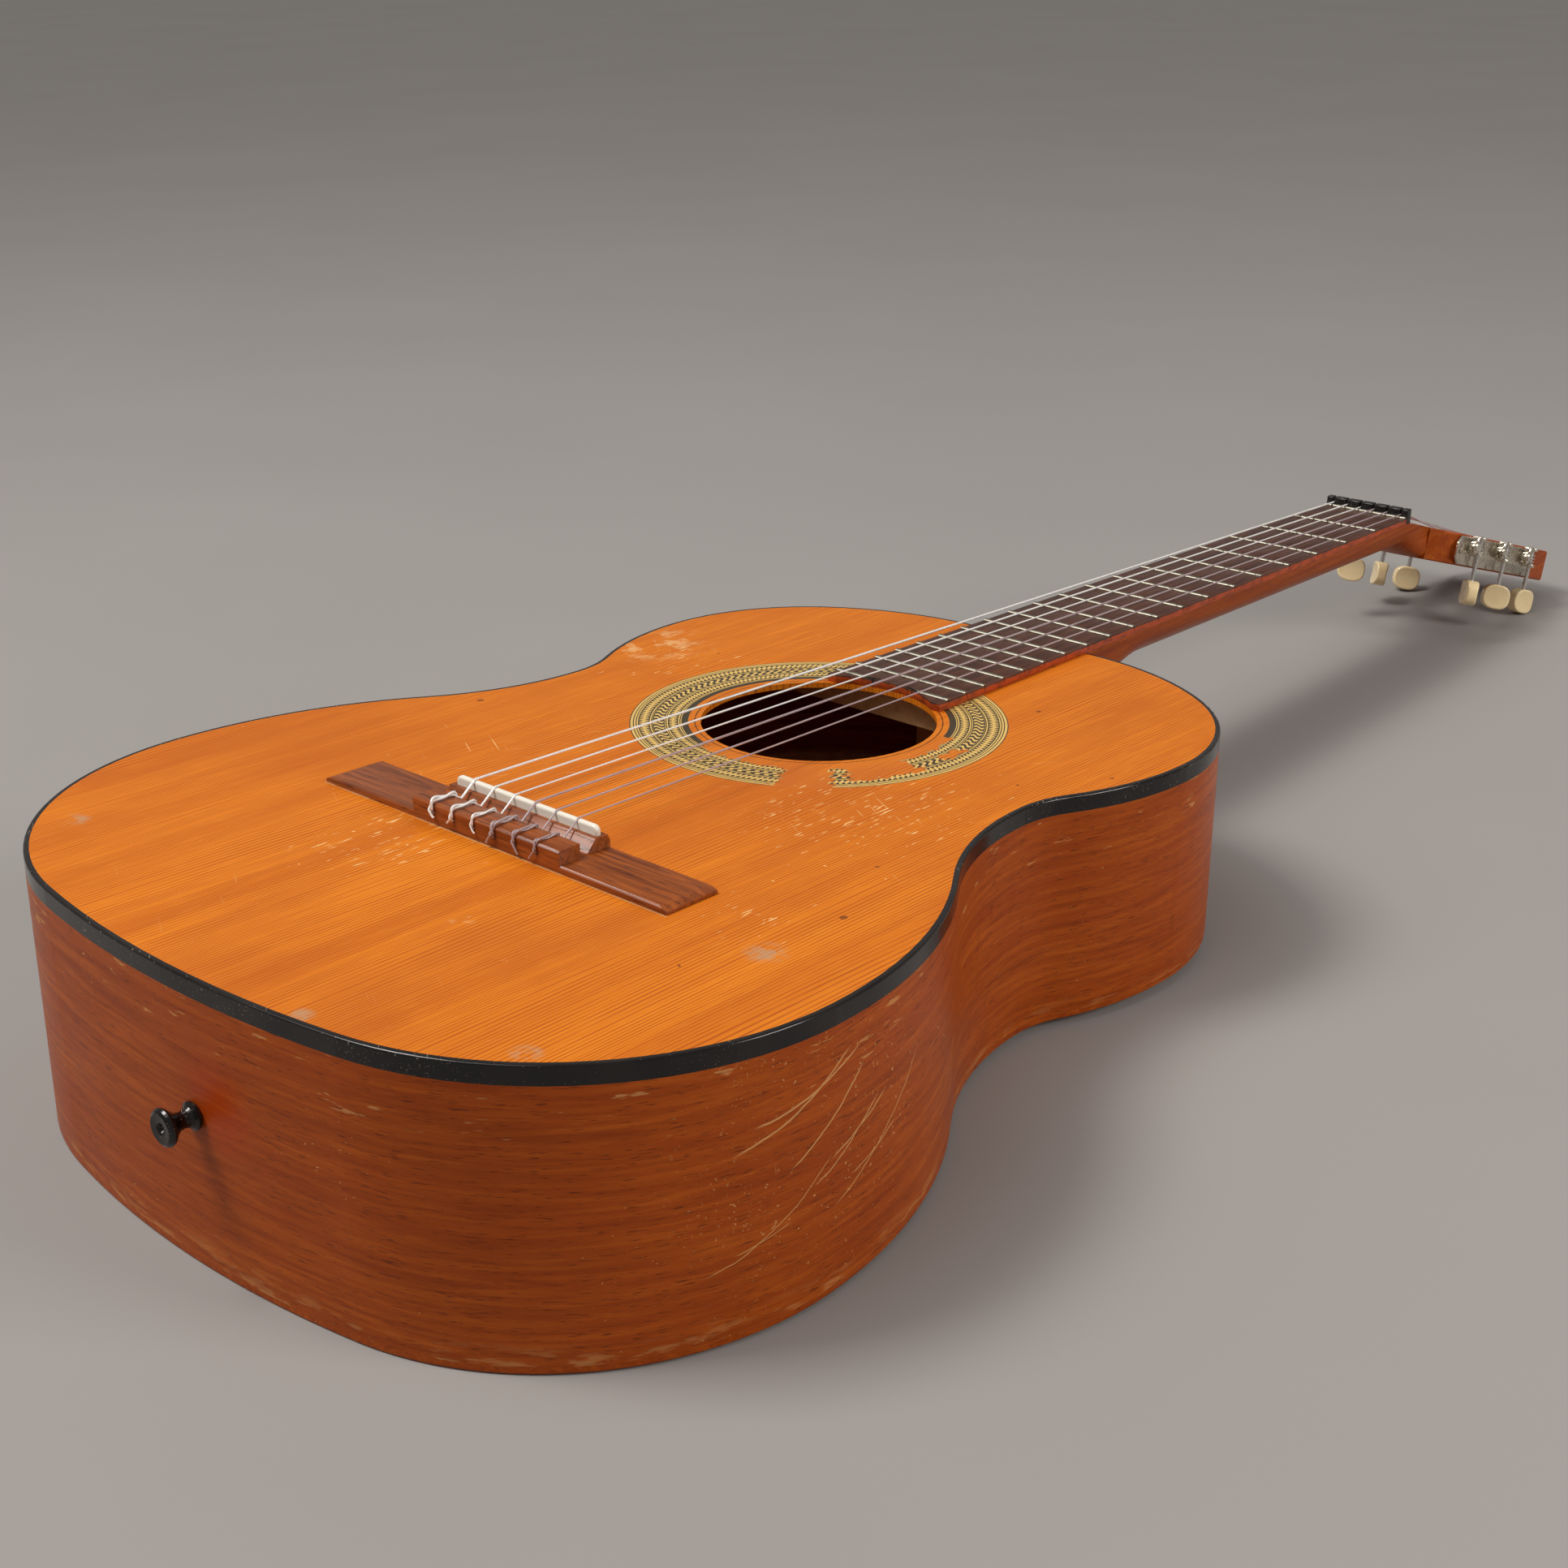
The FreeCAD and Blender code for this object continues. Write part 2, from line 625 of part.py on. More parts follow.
def fret_places():
    """Frets that the fingerboard has room for."""
    places = [fret_y(number) for number in range(1, FRET_COUNT + 1)]
    return [y for y in places if y > BOARD_END_Y + FRET_W]


def fret_bar(y, height):
    """One fret: a low round crown on a tang, cut off at the board's edges."""
    half = FRET_W / 2
    tang_w, tang_d = FRET_TANG
    reach = board_width(y) / 2 - FRET_INSET
    base = FINGERBOARD_T

    def at(dy, z):
        return Vector(-reach, y + dy, z)

    crown = Part.Arc(at(half, base + 0.2), at(0, base + height), at(-half, base + 0.2)).toShape()
    corners = [at(-half, base + 0.2), at(-half, base), at(-tang_w / 2, base),
               at(-tang_w / 2, base - tang_d), at(tang_w / 2, base - tang_d),
               at(tang_w / 2, base), at(half, base), at(half, base + 0.2)]
    wire = Part.Wire([crown] + [Part.makeLine(a, b) for a, b in zip(corners, corners[1:])])
    bar = Part.Face(wire).extrude(Vector(2 * reach, 0, 0))
    if y - half < HOLE_Y + SOUNDHOLE_R:
        bar = bar.cut(cylinder(SOUNDHOLE_R + FRET_INSET, (0, HOLE_Y, 0), (0, HOLE_Y, 2 * base)))
    return bar


def frets():
    return Part.makeCompound([solid for y in fret_places() for solid in fret_bar(y, FRET_H).Solids])


def zero_fret():
    return fret_bar(SCALE, FRET_H + ZERO_FRET_EXTRA)


def nut():
    half = NUT_W / 2
    shape = box(-half, half, NUT_FRONT_Y, NUT_BACK_Y, 0, NUT_H)
    shape = rounded(shape, 1.0, lambda edge: abs(edge.BoundBox.ZMin - NUT_H) < 0.01
                    and edge.BoundBox.XLength > 1)
    for number, diameter in enumerate(STRING_D, 1):
        x = string_x(number, NUT_SPREAD)
        half_w = diameter / 2 + 0.15
        low = ZERO_TOP - 0.9
        shape = shape.cut(box(x - half_w, x + half_w, NUT_FRONT_Y - 1, NUT_BACK_Y + 1, low, NUT_H + 1))
    return shape


# ---- bridge -------------------------------------------------------------------------------

def bridge():
    rear = BRIDGE_FRONT - BRIDGE_W
    half = BRIDGE_LENGTH / 2
    centre = BRIDGE_CENTRE_L / 2
    profile = [(rear, 0), (rear, TIE_BLOCK_H - 0.8), (rear + 0.8, TIE_BLOCK_H),
               (rear + TIE_BLOCK_W, TIE_BLOCK_H), (rear + TIE_BLOCK_W, TROUGH_H),
               (rear + TIE_BLOCK_W + 3.6, TROUGH_H), (-SADDLE_T / 2 - 2.0, RIDGE_H),
               (SADDLE_T / 2 + 1.4, RIDGE_H), (BRIDGE_FRONT, RIDGE_H - 2.4), (BRIDGE_FRONT, 0)]
    block = extruded([Vector(-centre, y, z) for y, z in profile], Vector(2 * centre, 0, 0))
    edge = 0.7
    wing = [(rear, 0), (rear, WING_T - edge), (rear + edge, WING_T),
            (BRIDGE_FRONT - edge, WING_T), (BRIDGE_FRONT, WING_T - edge), (BRIDGE_FRONT, 0)]
    wings = extruded([Vector(-half, y, z) for y, z in wing], Vector(2 * half, 0, 0))
    for sign in (1, -1):
        bevel = [Vector(sign * half, rear - 1, WING_T - 1.4), Vector(sign * (half - 4), rear - 1, WING_T),
                 Vector(sign * (half + 1), rear - 1, WING_T + 1)]
        wings = wings.cut(extruded(bevel, Vector(0, BRIDGE_W + 2, 0)))
    shape = block.fuse(wings).removeSplitter()
    seat = box(-SADDLE_L / 2, SADDLE_L / 2, -SADDLE_T / 2, SADDLE_T / 2, SADDLE_SEAT, 2 * SADDLE_H)
    shape = shape.cut(seat)
    for number in range(1, 7):
        x = string_x(number, SADDLE_SPREAD)
        shape = shape.cut(cylinder(TIE_HOLE_R, (x, rear - 1, TIE_HOLE_H),
                                   (x, rear + TIE_BLOCK_W + 1, TIE_HOLE_H)))
    return shape


def saddle():
    shape = box(-SADDLE_L / 2, SADDLE_L / 2, -SADDLE_T / 2, SADDLE_T / 2, SADDLE_SEAT, SADDLE_H)
    shape = rounded(shape, 2.6, lambda edge: edge.BoundBox.YLength > SADDLE_T - 0.1
                    and edge.BoundBox.ZMin > SADDLE_H - 0.1)
    return rounded(shape, SADDLE_T * 0.42, lambda edge: edge.BoundBox.ZMin > SADDLE_H - 0.1
                   and edge.BoundBox.XLength > SADDLE_L / 2)


# ---- tuning machines ----------------------------------------------------------------------

def machine_side(number):
    """Treble side for machines 1 to 3, bass side for 4 to 6."""
    return 1 if number <= 3 else -1


def machine_at(number):
    """Place along the head; strings 1 and 6 use the machines nearest the nut."""
    return TUNER_AT[number - 1 if number <= 3 else 6 - number]


def on_side(shape, number):
    """A machine's piece on its side, moved from the head's frame."""
    if machine_side(number) < 0:
        shape = mirrored(shape)
    return placed(shape, HEAD)


def roller(number):
    y = machine_at(number)
    inner = SLOT_X - SLOT_W / 2 + 0.2
    outer = HEAD_W / 2 - 0.2
    z = -ROLLER_DEPTH
    barrel = cylinder(ROLLER_R, (inner, y, z), (outer, y, z))
    pivot = cylinder(PIVOT_R, (inner - PIVOT_IN + PIVOT_SHORT, y, z), (inner, y, z))
    shaft = cylinder(SHAFT_R, (outer, y, z), (COG_X + COG_T / 2, y, z))
    return on_side(barrel.fuse([pivot, shaft]), number)


def cog(number):
    """Cog in mesh with its worm, and the screw that holds it on the shaft."""
    y = machine_at(number)
    z = -ROLLER_DEPTH
    points = []
    low = COG_R - TOOTH_IN * MODULE
    high = COG_R + TOOTH_OUT * MODULE
    for tooth in range(COG_TEETH):
        middle = 2 * math.pi * tooth / COG_TEETH
        for share, reach in ((-0.26, low), (-0.115, high), (0.115, high), (0.26, low)):
            angle = middle + share * 2 * math.pi / COG_TEETH
            points.append(Vector(COG_X - COG_T / 2, y + reach * math.cos(angle), z + reach * math.sin(angle)))
    gear = extruded(points, Vector(COG_T, 0, 0))
    gear = gear.cut(cylinder(SHAFT_R, (0, y, z), (WIDE, y, z)))
    face = COG_X + COG_T / 2
    screw = cylinder(SHAFT_R + 0.7, (face, y, z), (face + 1.3, y, z))
    screw = rounded(screw, 0.5, lambda edge: edge.BoundBox.XMin > face + 1.2)
    screw = screw.cut(box(face + 0.7, face + 2, y - 4, y + 4, z - 0.35, z + 0.35))
    return Part.makeCompound([on_side(gear, number), on_side(screw, number)])


def worm(number):
    """Worm on its shaft, along the head's depth, beside the cog."""
    y = machine_at(number) + AXES_APART
    middle = -ROLLER_DEPTH
    root = WORM_R - MODULE
    tip = WORM_R + 0.8 * MODULE
    top = middle + WORM_L / 2 + LUG_T + 0.8
    low = middle - SHAFT_TO_BUTTON - BUTTON_SHAFT_IN
    core = cylinder(root, (0, 0, middle - WORM_L / 2), (0, 0, middle + WORM_L / 2))
    shaft = cylinder(WORM_SHAFT_R, (0, 0, low), (0, 0, top))
    path = Part.makeHelix(PITCH, THREAD_RUN, root)
    start = root - 0.15
    tooth = [Vector(start, 0, -0.36 * PITCH), Vector(tip, 0, -0.13 * PITCH),
             Vector(tip, 0, 0.13 * PITCH), Vector(start, 0, 0.36 * PITCH)]
    profile = Part.makePolygon(tooth + [tooth[0]])
    thread = Part.Wire(path).makePipeShell([profile], True, True)
    turned = Rotation(Z_AXIS, THREAD_START)
    thread.Placement = Placement(Vector(0, 0, middle - THREAD_RUN / 2), turned)
    shape = core.fuse([shaft, thread])
    shape.translate(Vector(COG_X, y, 0))
    return on_side(shape, number)


def button(number):
    width, thickness, height = BUTTON
    top = -ROLLER_DEPTH - SHAFT_TO_BUTTON
    middle = top - height / 2
    count = 40
    rim = []
    for index in range(count):
        angle = 2 * math.pi * index / count
        x = width / 2 * math.copysign(abs(math.cos(angle)) ** 0.78, math.cos(angle))
        z = height / 2 * math.copysign(abs(math.sin(angle)) ** 0.78, math.sin(angle))
        rim.append(Vector(x, -thickness / 2, middle + z))
    curve = Part.BSplineCurve()
    curve.interpolate(Points=rim, PeriodicFlag=True)
    shape = Part.Face(Part.Wire([curve.toShape()])).extrude(Vector(0, thickness, 0))
    hollow_r = (height ** 2 / 4 + BUTTON_WAIST ** 2) / (2 * BUTTON_WAIST)
    for sign in (1, -1):
        y = sign * (thickness / 2 - BUTTON_WAIST + hollow_r)
        shape = shape.cut(cylinder(hollow_r, (-width, y, middle), (width, y, middle)))
    shape = shape.makeFillet(1.0, shape.Edges)
    shape = shape.cut(cylinder(WORM_SHAFT_R, (0, 0, top - BUTTON_SHAFT_IN), (0, 0, top + 1)))
    side = machine_side(number)
    turn = (BUTTON_TURNS[number - 1] + 90) * side
    shape.rotate(Vector(0, 0, 0), Z_AXIS, turn)
    shape.translate(Vector(COG_X, machine_at(number) + AXES_APART, 0))
    return on_side(shape, number)


def tuner_plate(side):
    """Side plate with bearing lugs above and below each worm."""
    y0 = TUNER_AT[0] - PLATE_MARGIN
    y1 = TUNER_AT[-1] + PLATE_MARGIN
    z1 = -PLATE_TOP
    z0 = z1 - PLATE_H
    c = PLATE_CHAMFER
    x = HEAD_W / 2
    corners = [(y0, z0 + c), (y0 + c, z0), (y1 - c, z0), (y1, z0 + c),
               (y1, z1 - c), (y1 - c, z1), (y0 + c, z1), (y0, z1 - c)]
    plate = extruded([Vector(x, y, z) for y, z in corners], Vector(PLATE_T, 0, 0))
    for y in TUNER_AT:
        axis_y = y + AXES_APART
        middle = -ROLLER_DEPTH
        for edge in (middle + WORM_L / 2 + RUNNING * 2, middle - WORM_L / 2 - LUG_T - RUNNING * 2):
            lug = box(x, COG_X, axis_y - LUG_W / 2, axis_y + LUG_W / 2, edge, edge + LUG_T)
            lug = lug.fuse(cylinder(LUG_W / 2, (COG_X, axis_y, edge), (COG_X, axis_y, edge + LUG_T)))
            plate = plate.fuse(lug)
        plate = plate.cut(cylinder(WORM_SHAFT_R + RUNNING, (COG_X, axis_y, -2 * HEAD_T), (COG_X, axis_y, HEAD_T)))
        plate = plate.cut(cylinder(SHAFT_R + RUNNING, (0, y, middle), (WIDE, y, middle)))
    for y in side_screws():
        z = -PLATE_TOP - PLATE_H / 2
        plate = plate.cut(cylinder(SCREW_R, (0, y, z), (WIDE, y, z)))
    plate = plate.removeSplitter()
    return placed(plate if side > 0 else mirrored(plate), HEAD)


def plate_screws(side):
    screws = []
    for y in side_screws():
        z = -PLATE_TOP - PLATE_H / 2
        shank = cylinder(SCREW_R, (HEAD_W / 2 - SCREW_L, y, z), (PLATE_FACE_X, y, z))
        head = cylinder(SCREW_HEAD_R, (PLATE_FACE_X, y, z), (PLATE_FACE_X + SCREW_HEAD_H, y, z))
        head = rounded(head, 0.5, lambda edge: edge.BoundBox.XMin > PLATE_FACE_X + SCREW_HEAD_H - 0.1)
        head = head.cut(box(PLATE_FACE_X + 0.5, WIDE, y - 3, y + 3, z - 0.3, z + 0.3))
        screws.append(head.fuse(shank))
    group = Part.makeCompound(screws)
    return placed(group if side > 0 else mirrored(group), HEAD)


# ---- strings ------------------------------------------------------------------------------

def bent_path(points, radii):
    """Straight runs joined by tangent arcs at the inner points."""
    edges = []
    start = points[0]
    for before, corner, after, radius in zip(points, points[1:], points[2:], radii):
        come = (corner - before).normalize()
        leave = (after - corner).normalize()
        half_turn = come.getAngle(leave) / 2
        reach = radius * math.tan(half_turn)
        first = corner - come * reach
        last = corner + leave * reach
        inward = (leave - come).normalize()
        middle = corner + inward * (radius / math.cos(half_turn) - radius)
        edges.append(Part.makeLine(start, first))
        edges.append(Part.Arc(first, middle, last).toShape())
        start = last
    edges.append(Part.makeLine(start, points[-1]))
    return Part.Wire(edges)


def tube(path, radius):
    """Round string along a path."""
    start = path.Edges[0].firstVertex().Point
    direction = path.Edges[0].lastVertex().Point - start
    ring = Part.Wire(Part.makeCircle(radius, start, direction))
    return path.makePipeShell([ring], True, False)


def winding_middle(number):
    """Middle of the turns on the roller, in the head's frame, on the treble side."""
    x = {1: SLOT_X + 3.0, 2: SLOT_X - 0.5, 3: SLOT_X - 2.5}[number if number <= 3 else 7 - number]
    return x, machine_at(number), -ROLLER_DEPTH


def string(number):
    """String from its tie at the bridge to the turns on its roller."""
    radius = STRING_D[number - 1] / 2
    side = machine_side(number)
    rear = BRIDGE_FRONT - BRIDGE_W
    x_saddle = string_x(number, SADDLE_SPREAD)
    x_nut = string_x(number, NUT_SPREAD)
    rise = radius + CLEAR
    tie_out = x_saddle + 1.9
    over = SADDLE_H + rise + 0.12

    wind_x, wind_y, wind_z = winding_middle(number)
    orbit = ROLLER_R + 2 * CLEAR + radius
    leave = HEAD.inverse().multVec(Vector(x_nut, NUT_BACK_Y - 0.4, ZERO_TOP + rise))
    run_y = wind_y - leave.y
    run_z = wind_z - leave.z
    span = math.hypot(run_y, run_z)
    outer = orbit + 2 * radius + 0.1
    bearing = math.atan2(run_z, run_y) + math.asin(orbit / span)
    reach = math.sqrt(span ** 2 - orbit ** 2) - math.sqrt(outer ** 2 - orbit ** 2)
    share = reach / math.sqrt(span ** 2 - orbit ** 2)
    stop = Vector(leave.x + (side * wind_x - leave.x) * share,
                  leave.y + reach * math.cos(bearing), leave.z + reach * math.sin(bearing))

    points = [Vector(tie_out, rear + TIE_BLOCK_W + rise + 0.1, TROUGH_H + 1.6),
              Vector(tie_out, rear + TIE_BLOCK_W + rise + 0.1, TIE_BLOCK_H + rise + 0.25),
              Vector(tie_out - 0.6, rear - rise - 0.1, TIE_BLOCK_H + rise + 0.25),
              Vector(x_saddle, rear - rise - 0.1, TIE_HOLE_H),
              Vector(x_saddle, rear + TIE_BLOCK_W + 0.8, TIE_HOLE_H),
              Vector(x_saddle, 0, over),
              Vector(x_nut, SCALE, ZERO_TOP + rise),
              Vector(x_nut, NUT_BACK_Y - 0.4, ZERO_TOP + rise),
              HEAD.multVec(stop)]
    radii = [0.8, 0.8, 0.8, 1.6, 2.0, 4.0, 2.0]
    line = tube(bent_path(points, radii), radius)

    turns = 2 * radius * STRING_TURNS
    x0 = wind_x - turns / 2
    sleeve = cylinder(orbit + radius, (x0, wind_y, wind_z), (x0 + turns, wind_y, wind_z))
    sleeve = sleeve.cut(cylinder(orbit - radius, (x0 - 1, wind_y, wind_z), (x0 + turns + 1, wind_y, wind_z)))
    return Part.makeCompound([line, on_side(sleeve, number)])


# ---- whole guitar -------------------------------------------------------------------------

def all_pieces():
    """Every piece by name, in the top frame."""
    pieces = {
        "soundboard": soundboard(),
        "rosette": rosette(),
        "back_plate": back_plate(),
        "side_treble": rib(1),
        "side_bass": rib(-1),
        "top_binding": top_binding(),
        "neck_block": neck_block(),
        "tail_block": tail_block(),
        "top_linings": top_linings(),
        "back_linings": lining(BACK_T, BACK_T + LINING_H),
        "transverse_bars": transverse_bars(),
        "fan_braces": fan_braces(),
        "back_braces": back_braces(),
        "back_centre_strip": back_centre_strip(),
        "end_pin": end_pin(),
        "neck": neck(),
        "fingerboard": fingerboard(),
        "frets": frets(),
        "zero_fret": zero_fret(),
        "nut": nut(),
        "bridge": bridge(),
        "saddle": saddle(),
        "tuner_plate_treble": tuner_plate(1),
        "tuner_plate_bass": tuner_plate(-1),
        "plate_screws_treble": plate_screws(1),
        "plate_screws_bass": plate_screws(-1),
    }
    for number in range(1, 7):
        pieces[f"string_{number}"] = string(number)
        pieces[f"roller_{number}"] = roller(number)
        pieces[f"cog_{number}"] = cog(number)
        pieces[f"worm_{number}"] = worm(number)
        pieces[f"button_{number}"] = button(number)
    return pieces


def resting_placement(pieces):
    """Turn and shift that lay the guitar on its tail edge and two buttons, centred."""

    def turned_box(name, lean):
        turn = Placement(Vector(0, 0, 0), Rotation(X_AXIS, -lean))
        return placed(pieces[name], turn).optimalBoundingBox(True, False)

    reach = HEAD.multVec(Vector(0, TUNER_AT[-1] + AXES_APART, 0)).y - TAIL_Y
    lean = TAPER
    for _ in range(LEAN_STEPS):
        over = min(turned_box(name, lean).ZMin for name in ("button_3", "button_4"))
        over -= turned_box("back_plate", lean).ZMin
        lean += math.degrees(math.atan2(over, reach))
    low = turned_box("back_plate", lean).ZMin
    y_middle = (turned_box("end_pin", lean).YMin + turned_box("neck", lean).YMax) / 2
    print(f"lean {lean:.4f} degrees, shift y {-y_middle:.4f}, z {-low:.4f}")
    return Placement(Vector(0, -y_middle, -low), Rotation(X_AXIS, -lean))


def main():
    os.makedirs("parts", exist_ok=True)
    pieces = all_pieces()
    rest = resting_placement(pieces)
    for name, shape in pieces.items():
        if not shape.isValid() or not shape.Solids:
            print(f"{name} is not a sound solid")
        placed(shape, rest).exportStep(f"parts/{name}.step")


main()
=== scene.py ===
import json
import math

import bpy
from mathutils import Matrix, Vector

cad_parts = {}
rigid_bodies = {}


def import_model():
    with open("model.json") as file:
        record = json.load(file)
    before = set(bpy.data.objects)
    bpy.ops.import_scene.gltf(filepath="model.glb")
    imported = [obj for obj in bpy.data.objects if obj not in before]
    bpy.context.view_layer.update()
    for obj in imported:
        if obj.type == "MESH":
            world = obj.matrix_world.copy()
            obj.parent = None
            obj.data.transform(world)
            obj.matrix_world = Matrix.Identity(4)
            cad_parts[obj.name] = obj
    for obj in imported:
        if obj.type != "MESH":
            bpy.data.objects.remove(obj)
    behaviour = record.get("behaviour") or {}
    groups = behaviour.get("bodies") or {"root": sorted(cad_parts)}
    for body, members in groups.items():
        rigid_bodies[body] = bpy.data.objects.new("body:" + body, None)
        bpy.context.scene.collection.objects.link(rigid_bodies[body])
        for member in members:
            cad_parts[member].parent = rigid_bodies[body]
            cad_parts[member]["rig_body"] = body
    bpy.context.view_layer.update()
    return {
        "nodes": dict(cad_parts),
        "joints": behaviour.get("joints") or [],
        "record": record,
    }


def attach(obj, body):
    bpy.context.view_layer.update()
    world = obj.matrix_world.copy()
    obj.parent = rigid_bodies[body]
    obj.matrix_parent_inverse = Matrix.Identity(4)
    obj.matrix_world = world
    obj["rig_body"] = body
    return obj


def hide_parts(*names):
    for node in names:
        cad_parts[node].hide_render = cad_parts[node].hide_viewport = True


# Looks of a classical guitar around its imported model. Named lengths are in millimetres unless a
# comment says otherwise, in the top frame: x to the treble side, y to the head, z out of the
# soundboard, with the origin on the soundboard's face under the middle of the saddle. Scales of
# textures are per metre, and colours are linear red, green and blue.

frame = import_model()
nodes = frame["nodes"]
joints = {joint["name"]: joint for joint in frame["joints"]}

MM = 0.001

# Strings
STRING_D = (0.71, 0.82, 1.02, 0.76, 0.91, 1.09)   # strings 1 (treble) to 6 (bass)
WOUND_FROM = 4               # strings 4 to 6 are wound with wire
WINDING_PITCH = 0.34
SADDLE_SPREAD = 58.0         # between the outer strings
NUT_SPREAD = 43.0
TIE_HOLE_UP = 4.4            # string holes above the soundboard
TIE_BLOCK_W = 10.6
TIE_BLOCK_TOP = 8.4
TWIST_REACH = 1.04           # of a twisted strand from the twist's middle, in string radii
CLEAR = 0.03                 # between a string and what it touches
RUN_STEPS = 24               # points along the part that sounds
ROLLER_R = 4.5
ROLLER_TURNS = {1: (18.5, 4), 2: (15.0, 3.5), 3: (13.0, 3)}   # from the middle, and turns, by pair
TURN_GAP = 0.05              # between turns on a roller
STEPS_PER_TURN = 26
END_DROPS = (0.6, 1.6, 2.8)  # how deep the string's end lies below its last turn

# Soundboard
GRAIN_STEP = 1.7             # between the grain lines
GRAIN_SWAY = 14              # how far the grain lines wander
GLUE_BESIDE = 0.6            # glue line beyond the bridge's ends
GLUE_BACK = 0.4              # middle of the glue line behind the bridge
GLUE_HALF_W = 0.5
GROOVE_R = 53.4              # groove round the soundhole
GROOVE_HALF_W = 0.3

# Worn places of the soundboard: a spot, and the distances where the wear is full and where it ends
PLAYED_SPOTS = (((85, 95, 0), 20, 85), ((-30, -42, 0), 15, 60), ((120, 0, 0), 5, 60), ((-95, 190, 0), 5, 60))
GREY_SPOTS = (((-133, -112, 0), 3, 8), ((141, -20, 0), 3, 10), ((135, -121, 0), 2, 7), ((64, -152, 0), 2, 6))
BARE_SPOTS = (((-132, 195, 0), 4, 36), ((46, -71, 0), 1, 6))

# Worn places of the ribs
STRUCK_SPOT = ((182, -35, -46), 30, 75)
STAIN_SPOT = ((24, -150, -44), 6, 26)

# Long scratches on the treble rib, each a mean value and the range round it
SCRATCHES = 9
SCRATCH_X = 182
SCRATCH_Y = (-33, 62)
SCRATCH_Z = (-48, 52)
SCRATCH_TILT = (27, 26)      # degrees
SCRATCH_LENGTH = (46, 44)
SCRATCH_HALF_W = (0.30, 0.25)
SCRATCH_BEND = 130           # radius of the curve they follow
SCATTER_STEPS = (0.618, 0.414, 0.73, 0.37)   # spread the scratches without repeating

# Rosette's bands, as insets of their inner and outer edges from the rosette's rim
ROPE_BANDS = ((8.3, 4.1, 200), (20.5, 16.9, 176))   # and the leaves round the ring
CURL_BAND = (14.7, 10.3, 112)                       # and the curls round the ring
BLACK_RING = (25.2, 22.3)
LINE_INSETS = (0, 1.5, 2.7, 3.7, 8.3, 9.3, 9.9, 14.7, 15.5, 16.5, 20.5, 21.5)
LINE_W = 0.45

# Rounded edges
BEVEL_SEGMENTS = 2
BEVEL_ANGLE = 30.0           # degrees, edges sharper than this are rounded
SMOOTH_ANGLE = 35            # degrees
MERGE_WITHIN = 0.002
FLAT_WITHIN = 0.4            # degrees

# Colours
AMBER_DEEP = (0.58, 0.140, 0.004)
AMBER_BRIGHT = (0.73, 0.210, 0.008)
GRAIN_BROWN = (0.34, 0.055, 0.003)
SILK_ORANGE = (0.88, 0.33, 0.03)
CLOUD_BROWN = (0.44, 0.088, 0.006)
RUBBED_PALE = (0.92, 0.62, 0.27)
BARE_SPRUCE = (0.80, 0.50, 0.22)
SCUFF_GREY = (0.42, 0.30, 0.18)
PIT_BROWN = (0.16, 0.04, 0.01)
OLD_GLUE = (0.50, 0.36, 0.20)
GROOVE_DARK = (0.07, 0.02, 0.008)
PRINT_PALE = (0.76, 0.52, 0.16)
PRINT_AGED = (0.60, 0.34, 0.07)
PRINT_INK = (0.012, 0.010, 0.008)
MAHOGANY_DARK = (0.205, 0.032, 0.003)
MAHOGANY_MIDDLE = (0.360, 0.070, 0.005)
MAHOGANY_LIGHT = (0.560, 0.130, 0.009)
MAHOGANY_RED = (0.330, 0.048, 0.004)
MAHOGANY_PORE = (0.075, 0.013, 0.003)
MAHOGANY_SCRATCH = (0.72, 0.40, 0.15)
RED_STAIN = (0.42, 0.030, 0.004)
BOARD_STAIN_LIGHT = (0.44, 0.062, 0.008)
BOARD_STAIN_DARK = (0.22, 0.036, 0.010)

# Camera
CAMERA_AT = (587.9, -508.3, 314.8)
CAMERA_AZIMUTH = -41.993     # degrees from +y towards +x
CAMERA_DOWN = 21.048         # degrees
CAMERA_ROLL = 0.22           # degrees
CAMERA_FOV = 39.223          # degrees
SENSOR_W = 36.0
CAMERA_FAR = 100             # metres

# ---- frames -------------------------------------------------------------------------------

pin_axis = next(m for m in frame["record"]["mounts"] if m["name"] == "end_pin")["axis"]
LEAN = math.atan2(pin_axis[2], -pin_axis[1])
key_axis = Vector(joints["button_turn_1"]["axis"])
HEAD_LEAN = math.atan2(key_axis.y, key_axis.z)


def leaned_box(node, angle):
    """Lowest and highest corner of a node after the lean is taken out, in metres."""
    upright = Matrix.Rotation(angle, 3, "X")
    spots = [upright @ vertex.co for vertex in nodes[node].data.vertices]
    low = Vector(min(spot[axis] for spot in spots) for axis in range(3))
    high = Vector(max(spot[axis] for spot in spots) for axis in range(3))
    return low, high


saddle_low, saddle_high = leaned_box("saddle", LEAN)
soundboard_face = leaned_box("soundboard", LEAN)[1].z
origin = Vector((0, (saddle_low.y + saddle_high.y) / 2, soundboard_face))
TOP = Matrix.Rotation(-LEAN, 4, "X") @ Matrix.Translation(origin) @ Matrix.Scale(MM, 4)


def top_box(node):
    """Lowest and highest corner of a node in the top frame, in millimetres."""
    low, high = leaned_box(node, LEAN)
    return (low - origin) / MM, (high - origin) / MM


def machine_frame(number):
    """Frame of a tuning machine: x across, y along the head, z out of its face, at its roller."""
    _, y, z = joints[f"roller_turn_{number}"]["pos_m"]
    turn = Matrix.Rotation(-HEAD_LEAN, 4, "X")
    return Matrix.Translation((0, y, z)) @ turn @ Matrix.Scale(MM, 4)


# ---- materials ----------------------------------------------------------------------------

